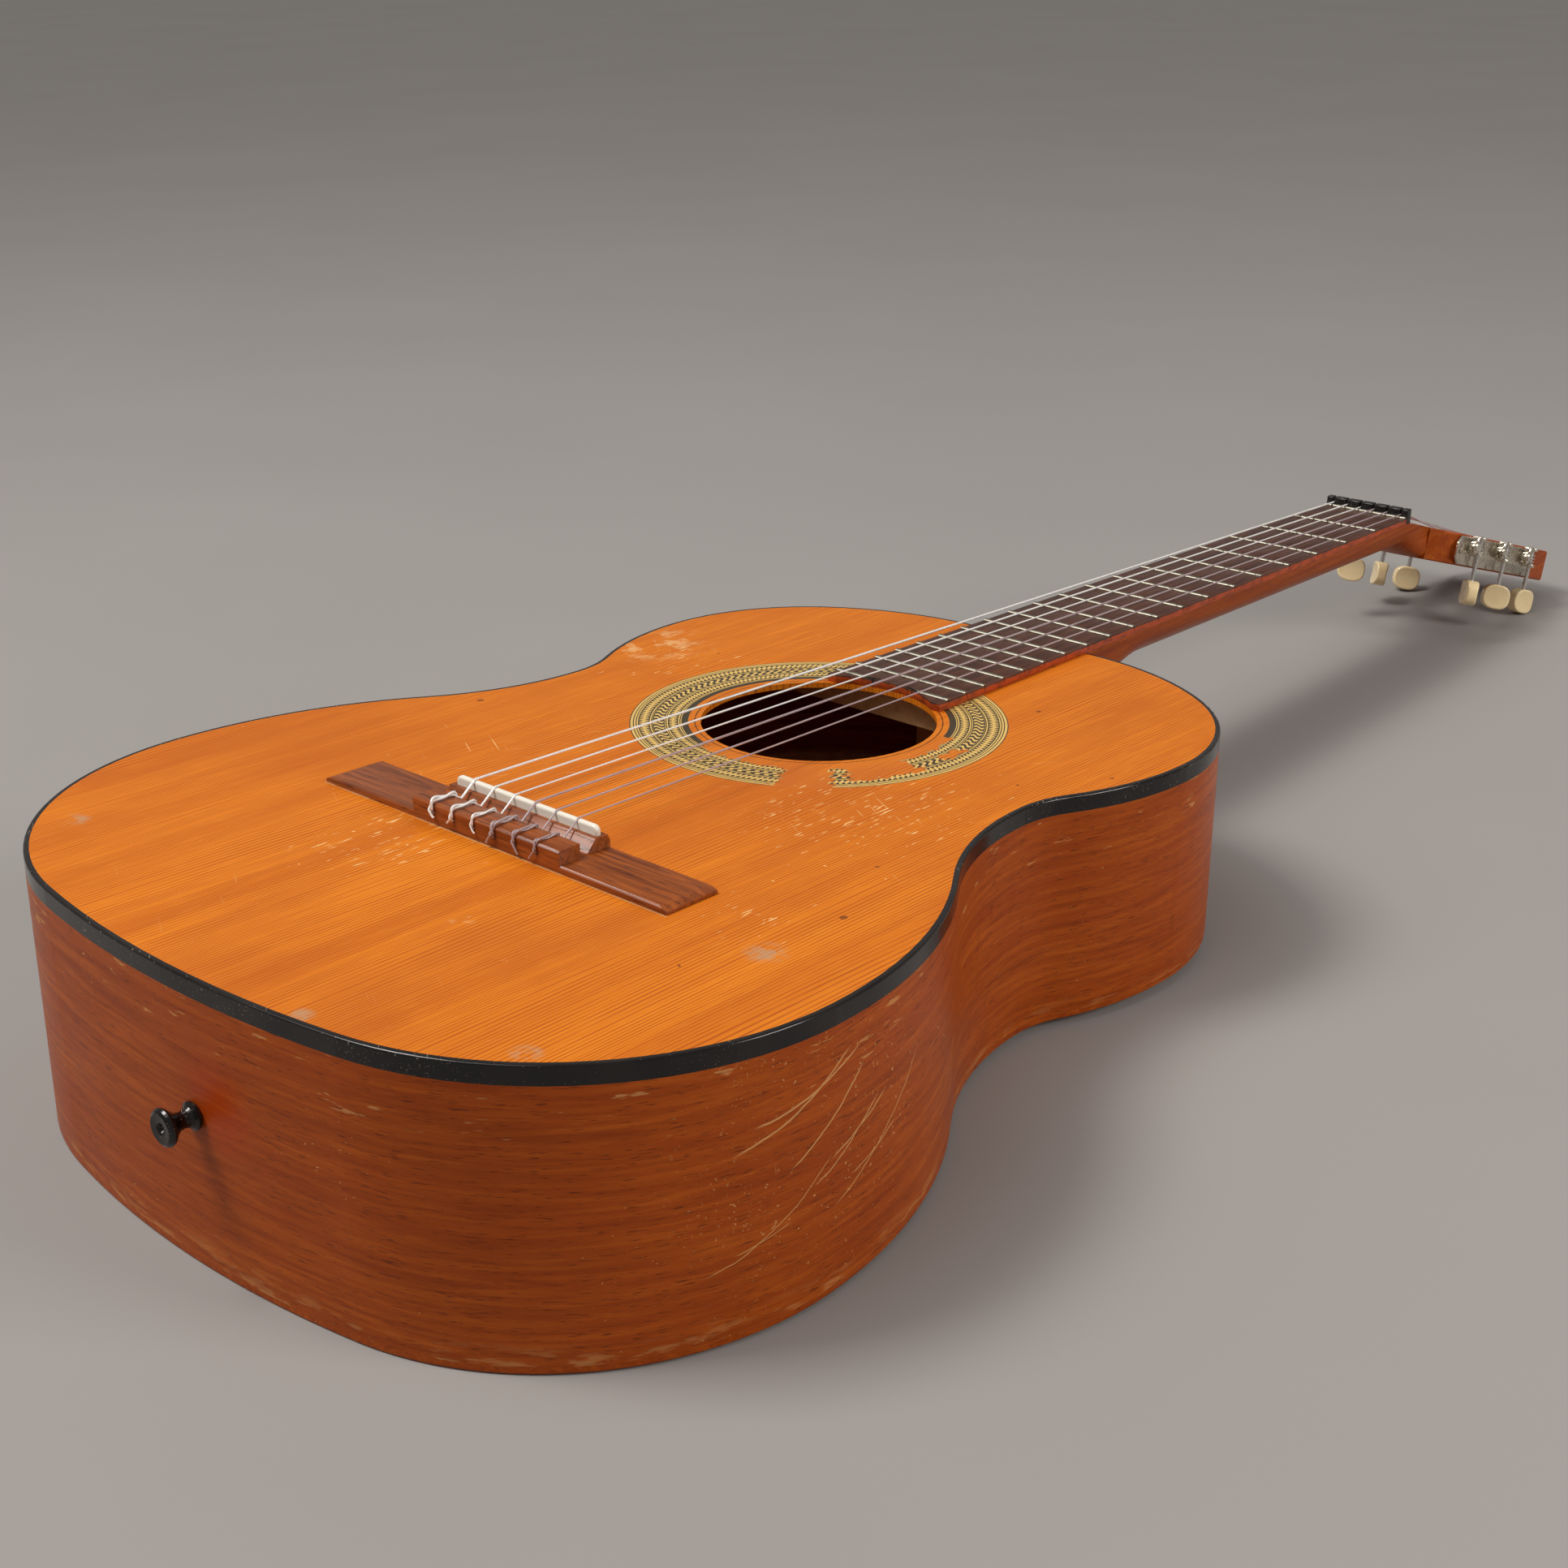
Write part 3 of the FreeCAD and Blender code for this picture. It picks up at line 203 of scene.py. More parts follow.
class Finish:
    """A material whose nodes are added step by step."""

    def __init__(self, name, roughness=0.5, metallic=0.0, coat=0.0, coat_roughness=0.03, ior=1.5, shine=0.5):
        self.material = bpy.data.materials.new(name)
        self.material.use_nodes = True
        self.tree = self.material.node_tree
        self.shader = self.tree.nodes["Principled BSDF"]
        self.shader.inputs["Roughness"].default_value = roughness
        self.shader.inputs["Metallic"].default_value = metallic
        self.shader.inputs["Coat Weight"].default_value = coat
        self.shader.inputs["Coat Roughness"].default_value = coat_roughness
        self.shader.inputs["IOR"].default_value = ior
        self.shader.inputs["Specular IOR Level"].default_value = shine
        self.place = self.add("ShaderNodeTexCoord").outputs["Object"]
        self.height = None

    def add(self, kind, **values):
        node = self.tree.nodes.new(kind)
        for key, value in values.items():
            setattr(node, key, value)
        return node

    def feed(self, socket, value):
        """Links an output to a socket, or sets the socket's own value."""
        if isinstance(value, bpy.types.NodeSocket):
            self.tree.links.new(value, socket)
        else:
            socket.default_value = value

    def mapped(self, source=None, scale=(1, 1, 1), turn=(0, 0, 0), move=(0, 0, 0)):
        """Coordinates turned first, then scaled and moved."""
        source = source or self.place
        if any(turn):
            node = self.add("ShaderNodeMapping")
            self.feed(node.inputs["Vector"], source)
            node.inputs["Rotation"].default_value = turn
            source = node.outputs["Vector"]
        node = self.add("ShaderNodeMapping")
        self.feed(node.inputs["Vector"], source)
        node.inputs["Scale"].default_value = scale
        node.inputs["Location"].default_value = move
        return node.outputs["Vector"]

    def split(self, where):
        """X, Y and Z of some coordinates."""
        node = self.add("ShaderNodeSeparateXYZ")
        self.feed(node.inputs[0], where)
        return node.outputs

    def math(self, operation, a, b=0.0, c=0.0):
        node = self.add("ShaderNodeMath", operation=operation)
        for socket, value in zip(node.inputs, (a, b, c)):
            self.feed(socket, value)
        return node.outputs[0]

    def noise(self, where, detail=3.0, roughness=0.5, distortion=0.0, scale=1.0):
        node = self.add("ShaderNodeTexNoise")
        self.feed(node.inputs["Vector"], where)
        node.inputs["Scale"].default_value = scale
        node.inputs["Detail"].default_value = detail
        node.inputs["Roughness"].default_value = roughness
        node.inputs["Distortion"].default_value = distortion
        return node.outputs["Fac"]

    def fade(self, value, low, high):
        """0 below low, 1 above high, smooth between them."""
        node = self.add("ShaderNodeMapRange", interpolation_type="SMOOTHSTEP")
        self.feed(node.inputs["Value"], value)
        node.inputs["From Min"].default_value = low
        node.inputs["From Max"].default_value = high
        return node.outputs["Result"]

    def scaled(self, value, low, high):
        """A 0 to 1 value spread between two others."""
        node = self.add("ShaderNodeMapRange")
        self.feed(node.inputs["Value"], value)
        node.inputs["To Min"].default_value = low
        node.inputs["To Max"].default_value = high
        return node.outputs["Result"]

    def ramp(self, value, *stops, interpolation="LINEAR"):
        node = self.add("ShaderNodeValToRGB")
        self.feed(node.inputs["Fac"], value)
        band = node.color_ramp
        band.interpolation = interpolation
        while len(band.elements) < len(stops):
            band.elements.new(0.5)
        for element, (position, colour) in zip(band.elements, stops):
            element.position = position
            element.color = (*colour, 1)
        return node.outputs["Color"]

    def mix(self, share, a, b, blend="MIX"):
        node = self.add("ShaderNodeMix", data_type="RGBA", blend_type=blend)
        self.feed(node.inputs["Factor"], share)
        for socket, colour in ((node.inputs[6], a), (node.inputs[7], b)):
            self.feed(socket, (*colour, 1) if isinstance(colour, tuple) else colour)
        return node.outputs[2]

    def tinted(self, body, mask, strength, colour):
        """A colour laid over another by a mask and a strength."""
        return self.mix(self.math("MULTIPLY", mask, strength), body, colour)

    def colour(self, value):
        self.feed(self.shader.inputs["Base Color"], value)

    def rough(self, value):
        self.feed(self.shader.inputs["Roughness"], value)

    def raise_by(self, value, depth_mm):
        """Adds a height to the surface's relief."""
        lifted = self.math("MULTIPLY", value, depth_mm * MM)
        self.height = lifted if self.height is None else self.math("ADD", self.height, lifted)

    def done(self):
        if self.height is not None:
            bump = self.add("ShaderNodeBump")
            bump.inputs["Distance"].default_value = 1.0
            self.feed(bump.inputs["Height"], self.height)
            self.feed(self.shader.inputs["Normal"], bump.outputs["Normal"])
        return self.material


def times(values, factor):
    """Each of some values times a factor."""
    return tuple(value * factor for value in values)


def scratches(finish, turn, long_scale, thin_scale, low, high, patch_scale, patch_from):
    """Fine short scratches in one direction (radians), where noise passes low to high, in patches."""
    lines = finish.noise(finish.mapped(turn=turn, scale=(long_scale, thin_scale, thin_scale)), 2.0)
    patches = finish.noise(finish.mapped(move=(turn[2], 0.3, 0.1)), 2.0, scale=patch_scale)
    return finish.math("MULTIPLY", finish.fade(lines, low, high),
                       finish.fade(patches, patch_from, patch_from + 0.14))


def distance_from(finish, spot):
    """Distance from a spot in the top frame, in metres."""
    apart = finish.add("ShaderNodeVectorMath", operation="DISTANCE")
    finish.feed(apart.inputs[0], finish.place)
    apart.inputs[1].default_value = TOP @ Vector(spot)
    return apart.outputs["Value"]


def near(finish, spot, inner, outer):
    """1 within a distance of a spot in the top frame and 0 beyond another, in millimetres."""
    return finish.fade(distance_from(finish, spot), outer * MM, inner * MM)


def varied(mean_and_range, share):
    """A mean value plus a share, from -0.5 to 0.5, of the range round it."""
    return mean_and_range[0] + mean_and_range[1] * share


def long_scratch(finish, number):
    """One of the long, slightly curved scratches on the treble side of the lower bout."""
    along, down, tilt, size = [(number * step) % 1 - 0.5 for step in SCATTER_STEPS]
    spot = Vector((SCRATCH_X, varied(SCRATCH_Y, along), varied(SCRATCH_Z, down)))
    angle = math.radians(varied(SCRATCH_TILT, tilt))
    length = varied(SCRATCH_LENGTH, size)
    middle = spot + SCRATCH_BEND * Vector((0, -math.sin(angle), math.cos(angle)))
    apart = distance_from(finish, middle)
    shaky = finish.noise(finish.mapped(scale=(90, 90, 90)), 3.0)
    reach = finish.math("ADD", apart, finish.scaled(shaky, -MM, MM))
    line = finish.math("COMPARE", reach, SCRATCH_BEND * MM, varied(SCRATCH_HALF_W, down) * MM)
    return finish.math("MULTIPLY", line, near(finish, spot, 0.38 * length, 0.5 * length))


def top_place(finish):
    """X, Y and Z in the top frame, in metres."""
    return finish.split(finish.mapped(turn=(LEAN, 0, 0), move=tuple(-origin)))


def round_the_hole(finish):
    """Distance from the soundhole's middle, in millimetres, and the angle round it."""
    low, high = top_box("rosette")
    x, y, _ = top_place(finish)
    y = finish.math("SUBTRACT", y, (low.y + high.y) / 2 * MM)
    squares = finish.math("ADD", finish.math("MULTIPLY", x, x), finish.math("MULTIPLY", y, y))
    reach = finish.math("SQRT", squares)
    return finish.math("MULTIPLY", reach, 1 / MM), finish.math("ARCTAN2", y, x)


def most(finish, *values):
    """Largest of some values."""
    top = values[0]
    for value in values[1:]:
        top = finish.math("MAXIMUM", top, value)
    return top


def worn_at(finish, spots):
    """1 at each of some spots, fading round them."""
    return most(finish, *[near(finish, *spot) for spot in spots])


def spruce_colour(finish):
    """Colour of the amber, bookmatched spruce, with its grain lines, worn marks and soft clouds."""
    x, y, _ = finish.split(finish.place)
    from_middle = finish.math("ABSOLUTE", x)
    mirrored = finish.add("ShaderNodeCombineXYZ")
    finish.feed(mirrored.inputs["X"], from_middle)
    finish.feed(mirrored.inputs["Y"], y)
    halves = mirrored.outputs[0]
    sway = finish.noise(finish.mapped(halves, scale=(26, 1.3, 0)), 2.0)
    across = finish.math("ADD", from_middle, finish.math("MULTIPLY", sway, GRAIN_SWAY * MM))
    rings = finish.math("SINE", finish.math("MULTIPLY", across, 2 * math.pi / (GRAIN_STEP * MM)))
    broken = finish.noise(finish.mapped(halves, scale=(900, 18, 0)), 2.0)
    broad = finish.noise(finish.mapped(halves, scale=(55, 1.0, 0), move=(3, 0, 0)), 2.0)
    silk = finish.noise(finish.mapped(halves, scale=(1500, 60, 0)), 2.0)
    cloud = finish.noise(finish.mapped(scale=(9, 5, 9)), 4.0, 0.6)
    lines = finish.math("MULTIPLY", finish.fade(rings, 0.15, 0.95), finish.fade(broken, 0.30, 0.55))
    body = finish.ramp(broad, (0.3, AMBER_DEEP), (0.7, AMBER_BRIGHT))
    body = finish.tinted(body, lines, finish.scaled(broad, 0.55, 0.95), GRAIN_BROWN)
    body = finish.tinted(body, finish.fade(silk, 0.5, 0.75), 0.22, SILK_ORANGE)
    body = finish.tinted(body, finish.fade(cloud, 0.48, 0.68), 0.42, CLOUD_BROWN)

    # Flecks, nicks and hairlines, denser where the lacquer is played on or rubbed
    flecks = finish.noise(finish.mapped(halves, scale=(760, 95, 0)), 2.0)
    played = worn_at(finish, PLAYED_SPOTS)
    rubbed = finish.noise(finish.mapped(scale=(16, 9, 16), move=(0.35, 0.1, 0)), 2.0)
    often = finish.math("ADD", finish.math("MULTIPLY", played, 0.13), finish.math("MULTIPLY", rubbed, 0.16))
    flecks = finish.fade(finish.math("ADD", flecks, often), 0.845, 0.90)
    nicks = finish.noise(finish.mapped(scale=(210, 190, 0), move=(0.9, 0.4, 0)), 2.0, 0.6)
    nicks = finish.fade(finish.math("ADD", nicks, finish.math("MULTIPLY", played, 0.06)), 0.77, 0.81)
    hair = most(finish,
                scratches(finish, (0, 0, 0.5), long_scale=22, thin_scale=1000, low=0.72, high=0.75,
                          patch_scale=8, patch_from=0.53),
                scratches(finish, (0, 0, -0.9), long_scale=34, thin_scale=1100, low=0.73, high=0.76,
                          patch_scale=9, patch_from=0.54))
    worn = most(finish, flecks, nicks, hair)
    body = finish.tinted(body, worn, 0.72, RUBBED_PALE)

    # Bare and grey patches, and small dark pits
    scuffs = finish.noise(finish.mapped(scale=(60, 60, 0), turn=(0, 0, 0.6)), 4.0, 0.7)
    bare = finish.math("MULTIPLY", worn_at(finish, BARE_SPOTS), finish.fade(scuffs, 0.50, 0.60))
    body = finish.tinted(body, bare, 0.65, BARE_SPRUCE)
    grey = finish.math("MULTIPLY", worn_at(finish, GREY_SPOTS), finish.fade(scuffs, 0.42, 0.55))
    body = finish.tinted(body, grey, 0.6, SCUFF_GREY)
    pits = finish.noise(finish.mapped(scale=(130, 90, 130), move=(0.2, 0.7, 0)), 1.0)
    body = finish.tinted(body, finish.fade(pits, 0.80, 0.82), 0.8, PIT_BROWN)

    # Glue line behind the bridge and groove round the soundhole
    x, y, _ = top_place(finish)
    bridge_low, bridge_high = top_box("bridge")
    beside = finish.math("COMPARE", x, 0, (bridge_high.x + GLUE_BESIDE) * MM)
    behind = finish.math("COMPARE", y, (bridge_low.y - GLUE_BACK) * MM, GLUE_HALF_W * MM)
    glue = finish.math("MULTIPLY", finish.math("MULTIPLY", beside, behind), finish.fade(scuffs, 0.35, 0.55))
    body = finish.tinted(body, glue, 0.5, OLD_GLUE)
    radius, _ = round_the_hole(finish)
    groove = finish.math("COMPARE", radius, GROOVE_R, GROOVE_HALF_W)
    groove = finish.math("MULTIPLY", groove, finish.fade(broken, 0.2, 0.45))
    body = finish.tinted(body, groove, 0.85, GROOVE_DARK)
    return body, lines, worn, cloud


def spruce_top():
    """Amber lacquered spruce with its grain along the strings."""
    finish = Finish("amber_spruce_lacquer", roughness=0.45, coat=0.03, coat_roughness=0.2, shine=0.22)
    colour, lines, worn, cloud = spruce_colour(finish)
    finish.colour(colour)
    finish.rough(finish.math("ADD", finish.scaled(cloud, 0.38, 0.56), finish.math("MULTIPLY", worn, 0.2)))
    finish.raise_by(lines, -0.02)
    finish.raise_by(worn, -0.03)
    return finish.done()


def ring_band(finish, radius, inner, outer):
    """1 between two radii, in millimetres."""
    return finish.math("COMPARE", radius, (inner + outer) / 2, (outer - inner) / 2)


def across_band(finish, radius, inner, outer):
    """-1 at a ring's inner edge and 1 at its outer edge."""
    offset = finish.math("SUBTRACT", radius, (inner + outer) / 2)
    return finish.math("MULTIPLY", offset, 2 / (outer - inner))


def wave(finish, angle, across, count, slant):
    """Wave round a ring that leans as it crosses it."""
    phase = finish.math("ADD", finish.math("MULTIPLY", angle, count), finish.math("MULTIPLY", across, slant))
    return finish.math("SINE", phase)


def rope(finish, radius, angle, inner, outer, count):
    """Ink round the pale leaves of a rope border."""
    across = across_band(finish, radius, inner, outer)
    leaf = finish.math("MULTIPLY", wave(finish, angle, across, count, 2.2), 0.5)
    ink = finish.math("GREATER_THAN", finish.math("ADD", finish.math("ABSOLUTE", across), leaf), 0.62)
    return finish.math("MULTIPLY", ring_band(finish, radius, inner, outer), ink)


def curls(finish, radius, angle, inner, outer, count):
    """Ink between the pale S curls of a border."""
    across = across_band(finish, radius, inner, outer)
    bend = finish.math("MULTIPLY", finish.math("SINE", finish.math("MULTIPLY", across, math.pi)), 1.1)
    curl = wave(finish, angle, finish.math("ADD", across, bend), count, 1.5)
    return finish.math("MULTIPLY", ring_band(finish, radius, inner, outer),
                       finish.math("GREATER_THAN", curl, -0.05))


def rosette_decal():
    """Printed rosette: lines, two rope borders, an S border and a black ring, flaked off in places."""
    finish = Finish("rosette_decal", roughness=0.4, coat=0.1, coat_roughness=0.2, shine=0.32)
    spruce, _, _, cloud = spruce_colour(finish)
    low, high = top_box("rosette")
    radius, angle = round_the_hole(finish)
    rim = (high.x - low.x) / 2
    ropes = [rope(finish, radius, angle, rim - deep, rim - shallow, leaves)
             for deep, shallow, leaves in ROPE_BANDS]
    deep, shallow, count = CURL_BAND
    ink = most(finish, *ropes, curls(finish, radius, angle, rim - deep, rim - shallow, count))
    for inset in LINE_INSETS:
        ink = most(finish, ink, ring_band(finish, radius, rim - inset - LINE_W, rim - inset))
    ink = most(finish, ink, ring_band(finish, radius, rim - BLACK_RING[0], rim - BLACK_RING[1]))
    aged = finish.mix(finish.scaled(cloud, 0.0, 0.6), PRINT_PALE, PRINT_AGED)
    printed = finish.tinted(aged, ink, 0.95, PRINT_INK)

    # Where the print has flaked off: angles in degrees from the treble side, with ragged edges
    ragged = finish.noise(finish.mapped(scale=(300, 300, 300)), 3.0, 0.7)
    degrees = finish.math("MULTIPLY", angle, 180 / math.pi)
    degrees = finish.math("ADD", degrees, finish.scaled(ragged, -8, 8))
    edge = finish.math("ADD", radius, finish.scaled(ragged, -5, 5))
    whole_width = finish.math("COMPARE", degrees, -53, 8.5)
    inner_part = finish.math("MULTIPLY", finish.math("COMPARE", degrees, -26, 13),
                             finish.math("LESS_THAN", edge, rim - 6.5))
    middle_part = finish.math("MULTIPLY", finish.math("COMPARE", degrees, 4, 5),
                              finish.math("COMPARE", edge, rim - 12.5, 3))
    inner_lines = finish.math("MULTIPLY", finish.math("COMPARE", degrees, -42, 62),
                              finish.math("LESS_THAN", edge, rim - 21))
    within_ring = ring_band(finish, radius, 0, rim - BLACK_RING[0])
    crumbs = finish.noise(finish.mapped(scale=(190, 190, 190)), 4.0, 0.7)
    crumbs = finish.math("GREATER_THAN", crumbs, 0.70)
    flaked = most(finish, whole_width, inner_part, middle_part, inner_lines, within_ring, crumbs)
    finish.colour(finish.mix(flaked, printed, spruce))
    finish.rough(finish.scaled(flaked, 0.35, 0.55))
    finish.raise_by(flaked, -0.05)
    return finish.done()


def weather(finish, body, marks):
    """Colour and marks of a rib with long scratches, small knocks, torn edges and a red stain."""
    struck = [long_scratch(finish, number) for number in range(SCRATCHES)]
    small = most(finish,
                 scratches(finish, (0.5, 0, 0), long_scale=700, thin_scale=620, low=0.67, high=0.71,
                           patch_scale=30, patch_from=0.44),
                 scratches(finish, (0.3, 0, -0.4), long_scale=700, thin_scale=700, low=0.68, high=0.71,
                           patch_scale=26, patch_from=0.44))
    small = finish.math("MULTIPLY", near(finish, *STRUCK_SPOT), small)
    torn = finish.noise(finish.mapped(scale=(55, 55, 330)), 3.0, 0.6)
    above_floor = finish.split(finish.place)["Z"]
    foot = finish.math("MULTIPLY", finish.fade(above_floor, 0.014, 0.001), finish.fade(torn, 0.50, 0.62))
    under_rim = finish.math("MULTIPLY", finish.math("COMPARE", top_place(finish)["Z"], -0.016, 0.010),
                            finish.fade(torn, 0.63, 0.69))
    marks = most(finish, marks, small, *struck, finish.math("MULTIPLY", foot, 0.6),
                 finish.math("MULTIPLY", under_rim, 0.7))
    body = finish.tinted(body, near(finish, *STAIN_SPOT), 0.55, RED_STAIN)
    return body, marks


def mahogany(name, grain_scale, pore_scale, dark=1.0, weathered=False):
    """Red-brown lacquered mahogany: streaks, open pores, scratches and rubbed edges."""
    finish = Finish(name, roughness=0.36, coat=0.03, coat_roughness=0.12, shine=0.14)
    streaks = finish.noise(finish.mapped(scale=grain_scale), 4.0, 0.6, 0.4)
    broad = finish.noise(finish.mapped(scale=times(grain_scale, 0.2), move=(5, 2, 1)), 3.0)
    pores = finish.fade(finish.noise(finish.mapped(scale=pore_scale), 2.0), 0.60, 0.70)
    body = finish.ramp(streaks, (0.25, times(MAHOGANY_DARK, dark)), (0.5, times(MAHOGANY_MIDDLE, dark)),
                       (0.75, times(MAHOGANY_LIGHT, dark)))
    body = finish.mix(finish.scaled(broad, 0.0, 0.8), body, times(MAHOGANY_RED, dark))
    body = finish.tinted(body, pores, 0.7, MAHOGANY_PORE)
    marks = most(finish,
                 scratches(finish, (0.25, 0.2, 0.4), long_scale=34, thin_scale=900, low=0.71, high=0.75,
                           patch_scale=16, patch_from=0.50),
                 scratches(finish, (0.9, -0.5, 1.2), long_scale=44, thin_scale=900, low=0.73, high=0.76,
                           patch_scale=14, patch_from=0.53))
    if weathered:
        body, marks = weather(finish, body, marks)
    finish.colour(finish.tinted(body, marks, 0.62, MAHOGANY_SCRATCH))
    smear = finish.noise(finish.mapped(scale=(14, 14, 30)), 3.0)
    finish.rough(finish.math("ADD", finish.scaled(smear, 0.28, 0.46), finish.math("MULTIPLY", marks, 0.3)))
    finish.raise_by(pores, -0.03)
    finish.raise_by(marks, -0.04)
    finish.raise_by(broad, 0.12)
    return finish.done()


def dark_rosewood(name, light, dark, grain_scale, roughness, stained_below=None):
    """Rosewood with open dark pores along its grain, stained red on its sides below a height."""
    finish = Finish(name, roughness=roughness, coat=0.08, coat_roughness=0.2, shine=0.35)
    streaks = finish.noise(finish.mapped(scale=grain_scale), 4.0, 0.65, 0.6)
    pores = finish.fade(finish.noise(finish.mapped(scale=times(grain_scale, 3.2)), 2.0), 0.6, 0.7)
    between = tuple((a + b) / 2 for a, b in zip(light, dark))
    body = finish.ramp(streaks, (0.28, dark), (0.5, between), (0.74, light))
    body = finish.tinted(body, pores, 0.7, times(dark, 0.3))
    worn = finish.noise(finish.mapped(scale=(30, 18, 30)), 3.0)
    if stained_below is not None:
        chips = finish.noise(finish.mapped(scale=(260, 160, 700)), 3.0, 0.6)
        height = finish.math("ADD", top_place(finish)["Z"], finish.scaled(chips, -0.5 * MM, 0.5 * MM))
        side = finish.fade(height, stained_below * MM, (stained_below - 0.3) * MM)
        red = finish.mix(finish.fade(chips, 0.4, 0.7), BOARD_STAIN_LIGHT, BOARD_STAIN_DARK)
        body = finish.mix(side, body, red)
    finish.colour(body)
    finish.rough(finish.scaled(worn, roughness - 0.1, roughness + 0.12))
    finish.raise_by(pores, -0.05)
    finish.raise_by(streaks, 0.03)
    return finish.done()


def pale_wood():
    """Bare wood inside the body."""
    finish = Finish("bare_inner_wood", roughness=0.75)
    grain = finish.noise(finish.mapped(scale=(260, 12, 260)), 3.0, 0.6)
    dust = finish.noise(finish.mapped(scale=(22, 22, 22)), 3.0)
    body = finish.ramp(grain, (0.3, (0.66, 0.34, 0.13)), (0.7, (0.85, 0.50, 0.22)))
    finish.colour(finish.mix(finish.scaled(dust, 0.0, 0.4), body, (0.35, 0.19, 0.08)))
    finish.raise_by(grain, 0.05)
    return finish.done()


def black_gloss(name, roughness=0.12):
    """Polished black plastic with fine hairlines and a little dust."""
    finish = Finish(name, roughness=roughness, coat=0.15, shine=0.3)
    marks = scratches(finish, (0.1, 0.1, 0.6), long_scale=80, thin_scale=1300, low=0.66, high=0.72,
                      patch_scale=20, patch_from=0.42)
    dust = finish.fade(finish.noise(finish.mapped(scale=(900, 900, 900)), 1.0), 0.74, 0.8)
    cloud = finish.noise(finish.mapped(scale=(35, 35, 35)), 3.0)
    worn = finish.math("MAXIMUM", marks, finish.math("MULTIPLY", dust, 0.4))
    body = finish.ramp(cloud, (0.35, (0.006, 0.005, 0.005)), (0.7, (0.016, 0.013, 0.012)))
    finish.colour(finish.tinted(body, worn, 0.5, (0.35, 0.28, 0.22)))
    finish.rough(finish.math("ADD", finish.scaled(cloud, roughness - 0.04, roughness + 0.1),
                             finish.math("MULTIPLY", worn, 0.3)))
    finish.raise_by(marks, -0.02)
    return finish.done()


def worn_metal(name, bright, stained, roughness, stain_from=0.5, stamped=False):
    """Nickelled or polished metal with tarnish spots and brushed hairlines."""
    finish = Finish(name, roughness=roughness, metallic=1.0)
    hair = finish.noise(finish.mapped(scale=(120, 1600, 900)), 2.0)
    spots = finish.noise(finish.mapped(scale=(170, 170, 170)), 5.0, 0.65)
    stain = finish.fade(spots, stain_from, stain_from + 0.2)
    finish.colour(finish.mix(stain, bright, stained))
    finish.rough(finish.math("ADD", finish.scaled(hair, roughness - 0.06, roughness + 0.08),
                             finish.math("MULTIPLY", stain, 0.25)))
    finish.raise_by(spots, 0.03)
    if stamped:
        leaves = finish.noise(finish.mapped(scale=(300, 300, 300)), 0.0, 0.5, 1.2)
        finish.raise_by(finish.fade(leaves, 0.36, 0.62), 0.12)
    return finish.done()


def cream_plastic(name, light, shade, roughness, depth=0.15):
    """Slightly translucent moulded plastic that has yellowed unevenly."""
    finish = Finish(name, roughness=roughness, coat=0.3, coat_roughness=0.08)
    finish.shader.inputs["Subsurface Weight"].default_value = depth
    finish.shader.inputs["Subsurface Radius"].default_value = (0.004, 0.003, 0.002)
    finish.shader.inputs["Subsurface Scale"].default_value = 0.5
    cloud = finish.noise(finish.mapped(scale=(110, 110, 110)), 3.0, 0.5, 0.8)
    specks = finish.fade(finish.noise(finish.mapped(scale=(700, 700, 700)), 2.0), 0.68, 0.76)
    body = finish.mix(finish.scaled(cloud, 0.0, 1.0), light, shade)
    finish.colour(finish.tinted(body, specks, 0.35, times(shade, 0.6)))
    finish.rough(finish.scaled(cloud, roughness - 0.05, roughness + 0.1))
    finish.raise_by(cloud, 0.05)
    return finish.done()


def clear_nylon():
    """Translucent monofilament with a faint lilac cast."""
    finish = Finish("clear_nylon", roughness=0.22, ior=1.53)
    finish.shader.inputs["Transmission Weight"].default_value = 0.45
    cloud = finish.noise(finish.mapped(scale=(60, 60, 60)), 2.0)
    finish.colour(finish.ramp(cloud, (0.3, (0.56, 0.43, 0.45)), (0.7, (0.66, 0.54, 0.55))))
    finish.rough(finish.scaled(cloud, 0.18, 0.3))
    finish.raise_by(cloud, 0.01)
    return finish.done()


def silver_winding():
    """Silvered wire wound round a core, its turns crossing the string, with painted shade in the valleys
    between the turns.
    """
    finish = Finish("silver_winding", roughness=0.35, metallic=0.25)
    along = finish.add("ShaderNodeAttribute", attribute_name="along").outputs["Fac"]
    turns = finish.math("SINE", finish.math("MULTIPLY", along, 2 * math.pi / (WINDING_PITCH * MM)))
    tarnish = finish.noise(finish.mapped(scale=(40, 40, 40)), 4.0)
    body = finish.ramp(tarnish, (0.35, (0.97, 0.96, 0.94)), (0.7, (0.91, 0.89, 0.86)))
    # Painted shade: the valleys between the wire's turns are tinted darker grey, as if in shadow.
    valley_shade = finish.fade(turns, 0.2, -0.9)
    finish.colour(finish.tinted(body, valley_shade, 0.35, (0.52, 0.49, 0.45)))
    finish.rough(finish.scaled(tarnish, 0.22, 0.42))
    finish.raise_by(turns, 0.02)
    return finish.done()


# ---- camera, light and floor --------------------------------------------------------------

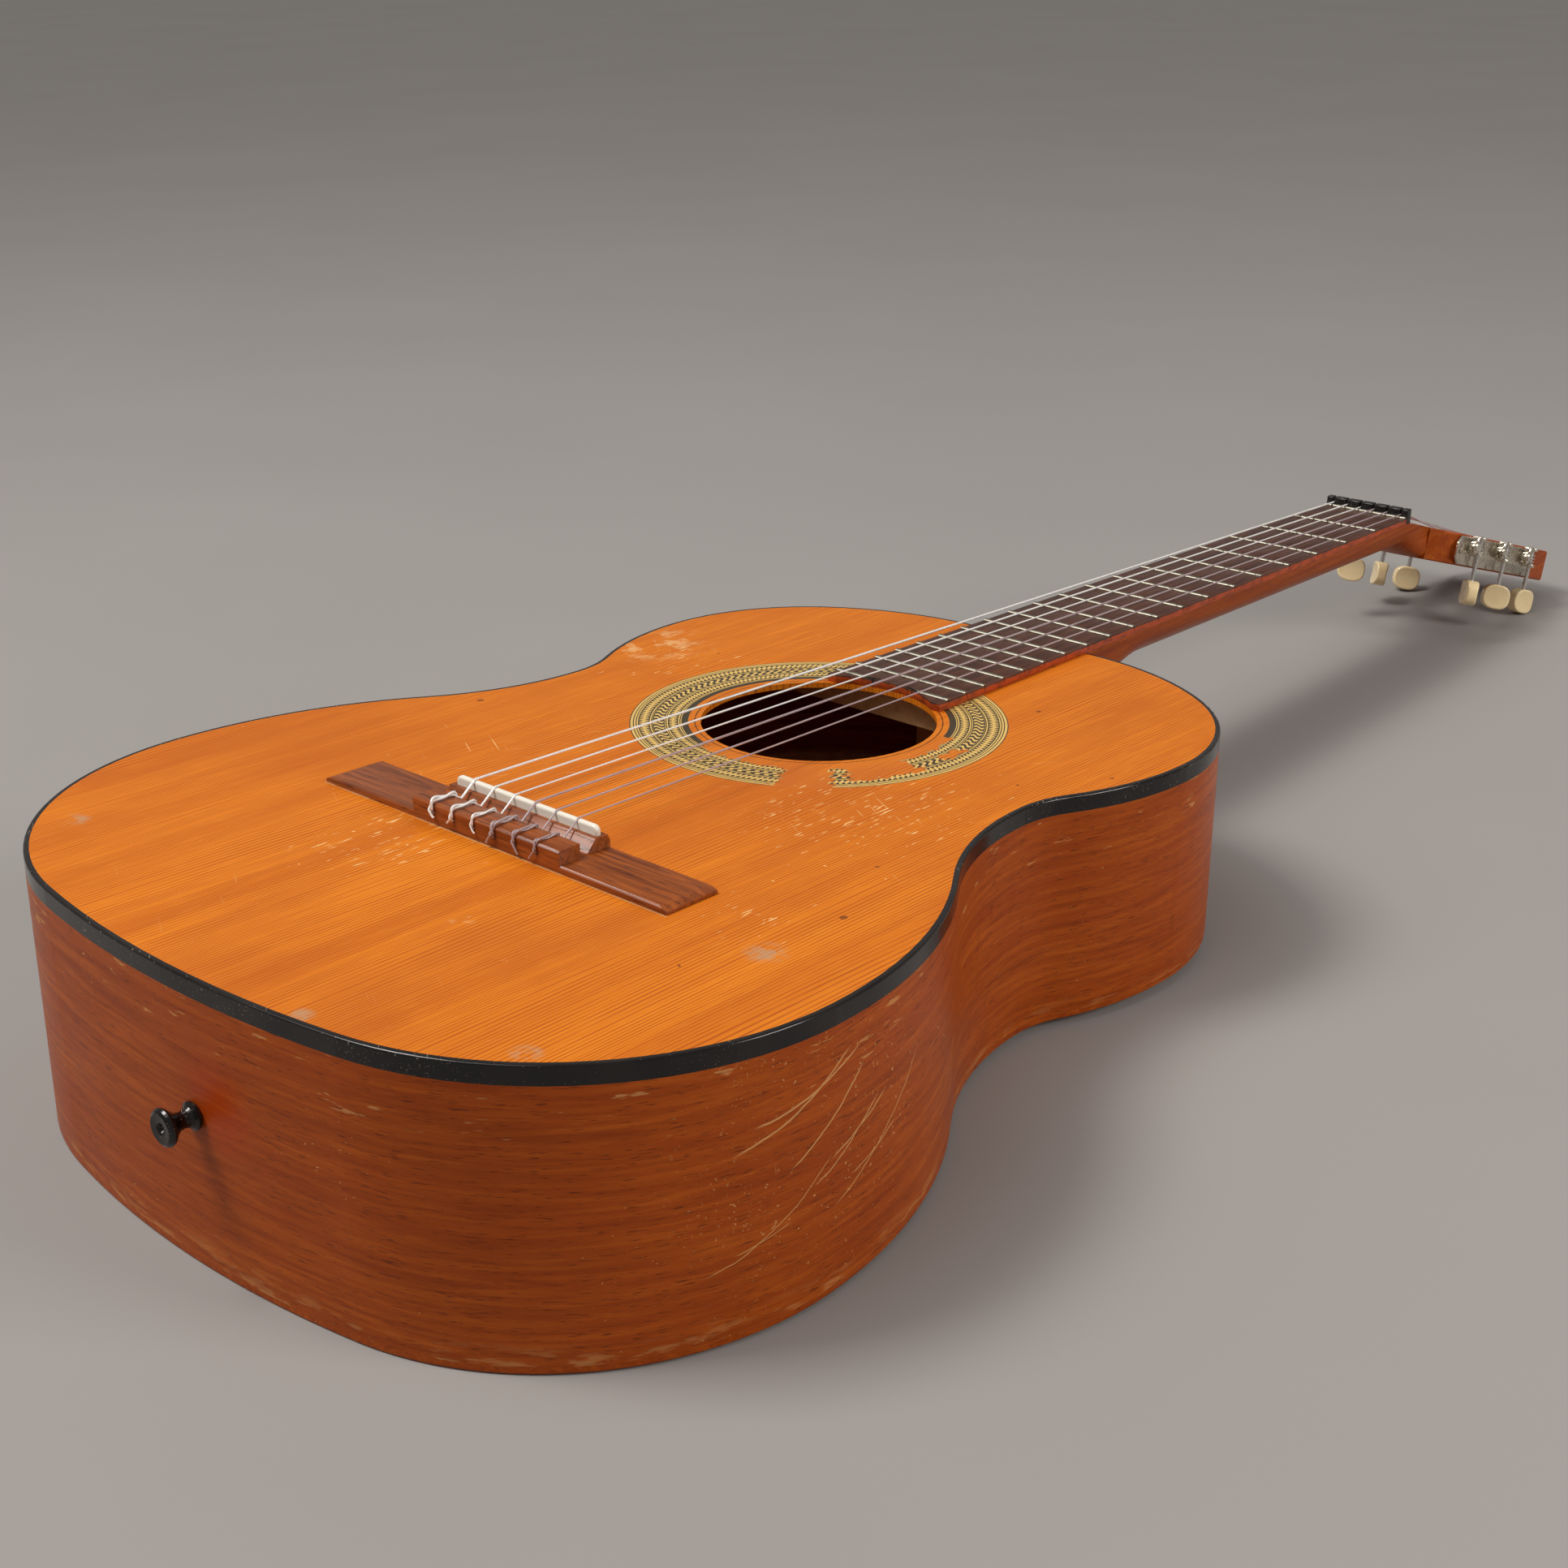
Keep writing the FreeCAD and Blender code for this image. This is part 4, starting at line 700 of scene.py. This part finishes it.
def make_camera():
    """Camera placed and turned in the top frame, then leaned with it."""
    azimuth = math.radians(CAMERA_AZIMUTH)
    down = math.radians(CAMERA_DOWN)
    ahead = Vector((math.sin(azimuth) * math.cos(down), math.cos(azimuth) * math.cos(down), -math.sin(down)))
    right = ahead.cross(Vector((0, 0, 1))).normalized()
    up = right.cross(ahead)
    turn = Matrix((right, up, -ahead)).transposed() @ Matrix.Rotation(math.radians(CAMERA_ROLL), 3, "Z")
    data = bpy.data.cameras.new("camera")
    data.sensor_width = SENSOR_W
    data.lens = SENSOR_W / 2 / math.tan(math.radians(CAMERA_FOV) / 2)
    data.clip_end = CAMERA_FAR
    camera = bpy.data.objects.new("camera", data)
    bpy.context.scene.collection.objects.link(camera)
    lean = Matrix.Rotation(-LEAN, 3, "X")
    camera.matrix_world = Matrix.Translation(TOP @ Vector(CAMERA_AT)) @ (lean @ turn).to_4x4()
    bpy.context.scene.camera = camera


def area_light(name, at, aim, size, power, colour):
    """Square lamp; places and size are in metres, power in watts."""
    data = bpy.data.lights.new(name, "AREA")
    data.size = size
    data.energy = power
    data.color = colour
    lamp = bpy.data.objects.new(name, data)
    bpy.context.scene.collection.objects.link(lamp)
    lamp.location = at
    lamp.rotation_euler = (Vector(aim) - Vector(at)).to_track_quat("-Z", "Y").to_euler()


def make_studio():
    """Soft key, fill and room light over a plain pale floor."""
    area_light("key_light", at=(-0.9, -1.2, 2.3), aim=(0, 0.05, 0.05), size=0.8, power=41,
               colour=(1.0, 0.97, 0.93))
    area_light("fill_light", at=(2.3, 0.6, 1.3), aim=(0.1, 0.0, 0.05), size=0.9, power=34,
               colour=(1.0, 0.96, 0.92))
    sun = bpy.data.objects.new("room_light", bpy.data.lights.new("room_light", "SUN"))
    sun.data.energy = 0.9
    sun.data.angle = math.radians(50)
    sun.rotation_euler = Vector((0.35, 0.45, -1.0)).to_track_quat("-Z", "Y").to_euler()
    bpy.context.scene.collection.objects.link(sun)
    world = bpy.data.worlds.new("studio_air")
    world.use_nodes = True
    world.node_tree.nodes["Background"].inputs["Color"].default_value = (0.62, 0.58, 0.55, 1)
    world.node_tree.nodes["Background"].inputs["Strength"].default_value = 0.42
    bpy.context.scene.world = world
    bpy.context.scene.view_settings.view_transform = "Standard"
    bpy.ops.mesh.primitive_plane_add(size=30)
    floor = bpy.context.object
    floor.name = "floor"
    paper = Finish("floor_paper", roughness=0.85)
    mottle = paper.noise(paper.mapped(scale=(3, 3, 3)), 3.0)
    paper.colour(paper.ramp(mottle, (0.3, (0.300, 0.284, 0.272)), (0.7, (0.313, 0.297, 0.285))))
    floor.data.materials.append(paper.done())


# ---- making pieces ------------------------------------------------------------------------

def deselect():
    if bpy.context.object and bpy.context.object.mode != "OBJECT":
        bpy.ops.object.mode_set(mode="OBJECT")
    bpy.ops.object.select_all(action="DESELECT")


def select_only(piece):
    deselect()
    piece.select_set(True)
    bpy.context.view_layer.objects.active = piece


def apply_bevel(piece, width):
    """Rounds a piece's sharp edges, in millimetres."""
    select_only(piece)
    bevel = piece.modifiers.new("rounding", "BEVEL")
    bevel.width = width * MM
    bevel.segments = BEVEL_SEGMENTS
    bevel.limit_method = "ANGLE"
    bevel.angle_limit = math.radians(BEVEL_ANGLE)
    bevel.use_clamp_overlap = True
    bpy.ops.object.modifier_apply(modifier=bevel.name)
    bpy.ops.object.shade_smooth_by_angle(angle=math.radians(SMOOTH_ANGLE))


def softened(node, width):
    """Copy of a node with its flat faces joined and its edges rounded, which stands for it."""
    cad = nodes[node]
    mesh = cad.data.copy()
    piece = bpy.data.objects.new(f"{node}_worn", mesh)
    bpy.context.scene.collection.objects.link(piece)
    select_only(piece)
    bpy.ops.object.mode_set(mode="EDIT")
    bpy.ops.mesh.select_all(action="SELECT")
    bpy.ops.mesh.remove_doubles(threshold=MERGE_WITHIN * MM)
    bpy.ops.mesh.dissolve_limited(angle_limit=math.radians(FLAT_WITHIN))
    bpy.ops.object.mode_set(mode="OBJECT")
    apply_bevel(piece, width)
    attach(piece, cad["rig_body"])
    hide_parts(node)


# ---- strings ------------------------------------------------------------------------------

def flowing(points, steps):
    """Smooth line through points, with a few steps between each two."""
    line = []
    padded = [points[0] * 2 - points[1]] + points + [points[-1] * 2 - points[-2]]
    for before, start, end, after in zip(padded, padded[1:], padded[2:], padded[3:]):
        for step in range(steps):
            t = step / steps
            line.append(0.5 * (2 * start + (end - before) * t
                               + (2 * before - 5 * start + 4 * end - after) * t ** 2
                               + (3 * start - before - 3 * end + after) * t ** 3))
    return line + [points[-1]]


def twisted(middle_line, reach, turns, phase):
    """Strand that winds round a middle line lying in an upright plane across x."""
    strand = []
    for index, spot in enumerate(middle_line):
        ahead = middle_line[min(index + 1, len(middle_line) - 1)] - middle_line[max(index - 1, 0)]
        out = Vector((1, 0, 0)).cross(ahead).normalized()
        angle = phase + 2 * math.pi * turns * index / (len(middle_line) - 1)
        strand.append(spot + (Vector((1, 0, 0)) * math.cos(angle) + out * math.sin(angle)) * reach)
    return strand


def tie(number, x, radius):
    """Tail, loop and doubled strands over the tie block, ending in the hole's rear mouth."""
    rear = top_box("bridge")[0].y
    front = rear + TIE_BLOCK_W
    gap = 2 * radius + CLEAR
    over = TIE_BLOCK_TOP + gap
    middle = flowing([Vector((x, rear - gap, TIE_HOLE_UP + 1.2)),
                      Vector((x, rear - gap, TIE_BLOCK_TOP - 1.6)),
                      Vector((x, rear + 0.4, over + 0.3)),
                      Vector((x, (rear + front) / 2, over)),
                      Vector((x, front - 0.4, over)),
                      Vector((x, front + gap + 0.2, TIE_BLOCK_TOP - 0.9)),
                      Vector((x, front + gap + 0.9, TIE_HOLE_UP + 2.2))], 9)
    plain = number < WOUND_FROM
    turns = 2.0 if plain else 1.5
    forward = twisted(middle, radius * TWIST_REACH, turns, math.pi * 0.5)
    back = twisted(middle, radius * TWIST_REACH, turns, math.pi * 1.5)[::-1]
    side = -1 if number % 2 else 1
    tail = 4.2 if plain else 1.6
    end = [Vector((x + side * (1.5 + 0.3 * tail), rear - gap - 0.4, TIE_HOLE_UP - 0.6 * tail)),
           Vector((x + side * 1.1, rear - gap - 0.5, TIE_HOLE_UP - 0.2))]
    loop = [Vector((x + 1.6 * radius, front + gap + 1.9, TIE_HOLE_UP + 1.3)),
            Vector((x, front + gap + 2.2, TIE_HOLE_UP + 0.6)),
            Vector((x - 1.6 * radius, front + gap + 1.9, TIE_HOLE_UP + 1.3))]
    into = [Vector((x, rear - radius - 0.3, TIE_HOLE_UP + 0.2)), Vector((x, rear + 1.0, TIE_HOLE_UP))]
    return flowing(end + forward[:1], 6)[:-1] + forward + flowing(loop, 4) + back + flowing(into, 5)


def sounding_length(number, x, radius):
    """From the tie block's hole over the saddle and along the board to the back of the nut."""
    front = top_box("bridge")[0].y + TIE_BLOCK_W
    crest = top_box("saddle")[1].z + radius + CLEAR
    zero_low, zero_high = top_box("zero_fret")
    zero_y = (zero_low.y + zero_high.y) / 2
    zero_z = zero_high.z + radius + CLEAR
    nut_back = top_box("nut")[1].y
    x_nut = NUT_SPREAD / 2 - (number - 1) * NUT_SPREAD / 5
    start = [Vector((x, front - 0.5, TIE_HOLE_UP)), Vector((x, front + 0.7, TIE_HOLE_UP + 0.25)),
             Vector((x, front + 2.0, TIE_HOLE_UP + 1.0)), Vector((x, -1.9, crest - 1.15)),
             Vector((x, -0.7, crest - 0.18)), Vector((x, 0.3, crest)), Vector((x, 2.2, crest - 0.03))]
    run = []
    for share in [step / RUN_STEPS for step in range(1, RUN_STEPS)]:
        run.append(Vector((x + (x_nut - x) * share, zero_y * share, crest + (zero_z - crest) * share)))
    end = [Vector((x_nut, zero_y - 1.5, zero_z + 0.01)), Vector((x_nut, zero_y, zero_z)),
           Vector((x_nut, zero_y + 1.5, zero_z - 0.02)), Vector((x_nut, nut_back - 0.8, zero_z - 0.08)),
           Vector((x_nut, nut_back - 0.1, zero_z - 0.16))]
    return flowing(start, 5) + run + flowing(end, 4)


def wound_on(number, radius, leaving):
    """Run over the head, turns on the roller and an end that goes into it, in metres."""
    frame_here = machine_frame(number)
    side = 1 if number <= 3 else -1
    rank = number if number <= 3 else 7 - number
    x_middle, turns = ROLLER_TURNS[rank]
    orbit = ROLLER_R + radius + CLEAR
    start = frame_here.inverted() @ leaving
    width = turns * (2 * radius + TURN_GAP)
    x_from = side * (x_middle - width / 2)
    span = math.hypot(start.y, start.z)
    touch = math.atan2(start.z, start.y) - math.acos(orbit / span)
    first = Vector((x_from, orbit * math.cos(touch), orbit * math.sin(touch)))
    line = [start + (first - start) * step / 10 for step in range(1, 10)]
    steps = int(turns * STEPS_PER_TURN)
    for step in range(steps + 1):
        angle = touch - 2 * math.pi * turns * step / steps
        x = x_from + side * width * step / steps
        line.append(Vector((x, orbit * math.cos(angle), orbit * math.sin(angle))))
    last = touch - 2 * math.pi * turns
    for drop in END_DROPS:
        turned = last - 0.10 * drop
        line.append(Vector((x_from + side * width, (orbit - drop) * math.cos(turned),
                            (orbit - drop) * math.sin(turned))))
    return [frame_here @ spot for spot in line]


def make_string(number, material):
    """A whole string, from its knot at the bridge to its turns on the roller."""
    radius = STRING_D[number - 1] / 2
    x = SADDLE_SPREAD / 2 - (number - 1) * SADDLE_SPREAD / 5
    body = tie(number, x, radius) + sounding_length(number, x, radius)
    spots = [TOP @ spot for spot in body]
    spots += wound_on(number, radius, spots[-1])
    curve = bpy.data.curves.new(f"string_{number}_line", "CURVE")
    curve.dimensions = "3D"
    curve.bevel_depth = radius * MM
    curve.bevel_resolution = 2
    curve.use_fill_caps = True
    spline = curve.splines.new("POLY")
    spline.points.add(len(spots) - 1)
    for point, spot in zip(spline.points, spots):
        point.co = (*spot, 1)
    piece = bpy.data.objects.new(f"string_{number}_tied", curve)
    bpy.context.scene.collection.objects.link(piece)
    select_only(piece)
    bpy.ops.object.convert(target="MESH")
    piece = bpy.context.object
    add_length(piece, spots)
    bpy.ops.object.shade_smooth()
    piece.data.materials.clear()
    piece.data.materials.append(material)
    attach(piece, "root")
    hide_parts(f"string_{number}")


def add_length(piece, spots):
    """Stores each vertex's distance along the string, in metres."""
    ring = len(piece.data.vertices) // len(spots)
    travelled = [0.0]
    for before, after in zip(spots, spots[1:]):
        travelled.append(travelled[-1] + (after - before).length)
    along = piece.data.attributes.new("along", "FLOAT", "POINT")
    for index, item in enumerate(along.data):
        item.value = travelled[min(index // ring, len(travelled) - 1)]


# ---- finishing ----------------------------------------------------------------------------

def dress(names, material):
    """Gives CAD nodes their finish."""
    for name in names:
        slots = nodes[name].data.materials
        slots.clear()
        slots.append(material)


def six(stem):
    return [f"{stem}_{number}" for number in range(1, 7)]


def dress_cad_nodes():
    """A finish for every CAD node that no new piece stands for, and for those that copies are made of."""
    dress(["soundboard"], spruce_top())
    ribs = mahogany("mahogany_ribs", grain_scale=(20, 20, 380), pore_scale=(150, 150, 2300), weathered=True)
    dress(["side_treble", "side_bass"], ribs)
    dress(["back_plate"], mahogany("mahogany_back", grain_scale=(420, 20, 420), pore_scale=(2300, 150, 2300)))
    dress(["neck"], mahogany("mahogany_neck", grain_scale=(330, 14, 330), pore_scale=(2300, 130, 2300),
                             dark=0.9))
    dress(["top_binding"], black_gloss("black_binding_gloss"))
    dress(["end_pin"], black_gloss("strap_button_gloss", roughness=0.16))
    dress(["nut"], black_gloss("nut_black", roughness=0.3))
    inner = pale_wood()
    dress(["neck_block", "tail_block", "top_linings", "back_linings", "transverse_bars", "fan_braces",
           "back_braces", "back_centre_strip"], inner)
    board = dark_rosewood("fingerboard_rosewood", light=(0.115, 0.040, 0.022), dark=(0.034, 0.012, 0.008),
                          grain_scale=(500, 22, 500), roughness=0.42,
                          stained_below=top_box("fingerboard")[1].z - 0.5)
    dress(["fingerboard"], board)
    dress(["bridge"], dark_rosewood("bridge_rosewood", light=(0.400, 0.098, 0.014),
                                    dark=(0.105, 0.020, 0.004), grain_scale=(22, 420, 420), roughness=0.3))
    dress(["frets", "zero_fret"], worn_metal("fret_nickel", bright=(0.29, 0.27, 0.22),
                                             stained=(0.19, 0.17, 0.13), roughness=0.4, stain_from=0.56))
    dress(["saddle"], cream_plastic("saddle_white", light=(0.86, 0.83, 0.74), shade=(0.80, 0.75, 0.63),
                                    roughness=0.3))
    dress(["tuner_plate_treble", "tuner_plate_bass", "plate_screws_treble", "plate_screws_bass"],
          worn_metal("machine_nickel", bright=(0.66, 0.60, 0.50), stained=(0.26, 0.20, 0.14),
                     roughness=0.26, stamped=True))
    dress(six("worm"), worn_metal("worm_steel", bright=(0.66, 0.64, 0.61), stained=(0.30, 0.25, 0.20),
                                  roughness=0.26))
    dress(six("cog"), worn_metal("cog_nickel", bright=(0.80, 0.74, 0.64), stained=(0.30, 0.23, 0.15),
                                 roughness=0.16))
    dress(six("button"), cream_plastic("button_cream", light=(0.88, 0.74, 0.46), shade=(0.76, 0.57, 0.29),
                                       roughness=0.26, depth=0.25))
    dress(six("roller"), cream_plastic("roller_bone", light=(0.80, 0.76, 0.66), shade=(0.70, 0.63, 0.50),
                                       roughness=0.35))
    dress(["rosette"], rosette_decal())


def make_pieces():
    """The pieces with rounded edges and the six strings."""
    softened("bridge", width=0.45)
    softened("nut", width=0.35)
    softened("fingerboard", width=0.25)
    softened("tuner_plate_treble", width=0.25)
    softened("tuner_plate_bass", width=0.25)
    nylon = clear_nylon()
    wound = silver_winding()
    for number in range(1, 7):
        make_string(number, nylon if number < WOUND_FROM else wound)


dress_cad_nodes()
make_pieces()
make_camera()
make_studio()
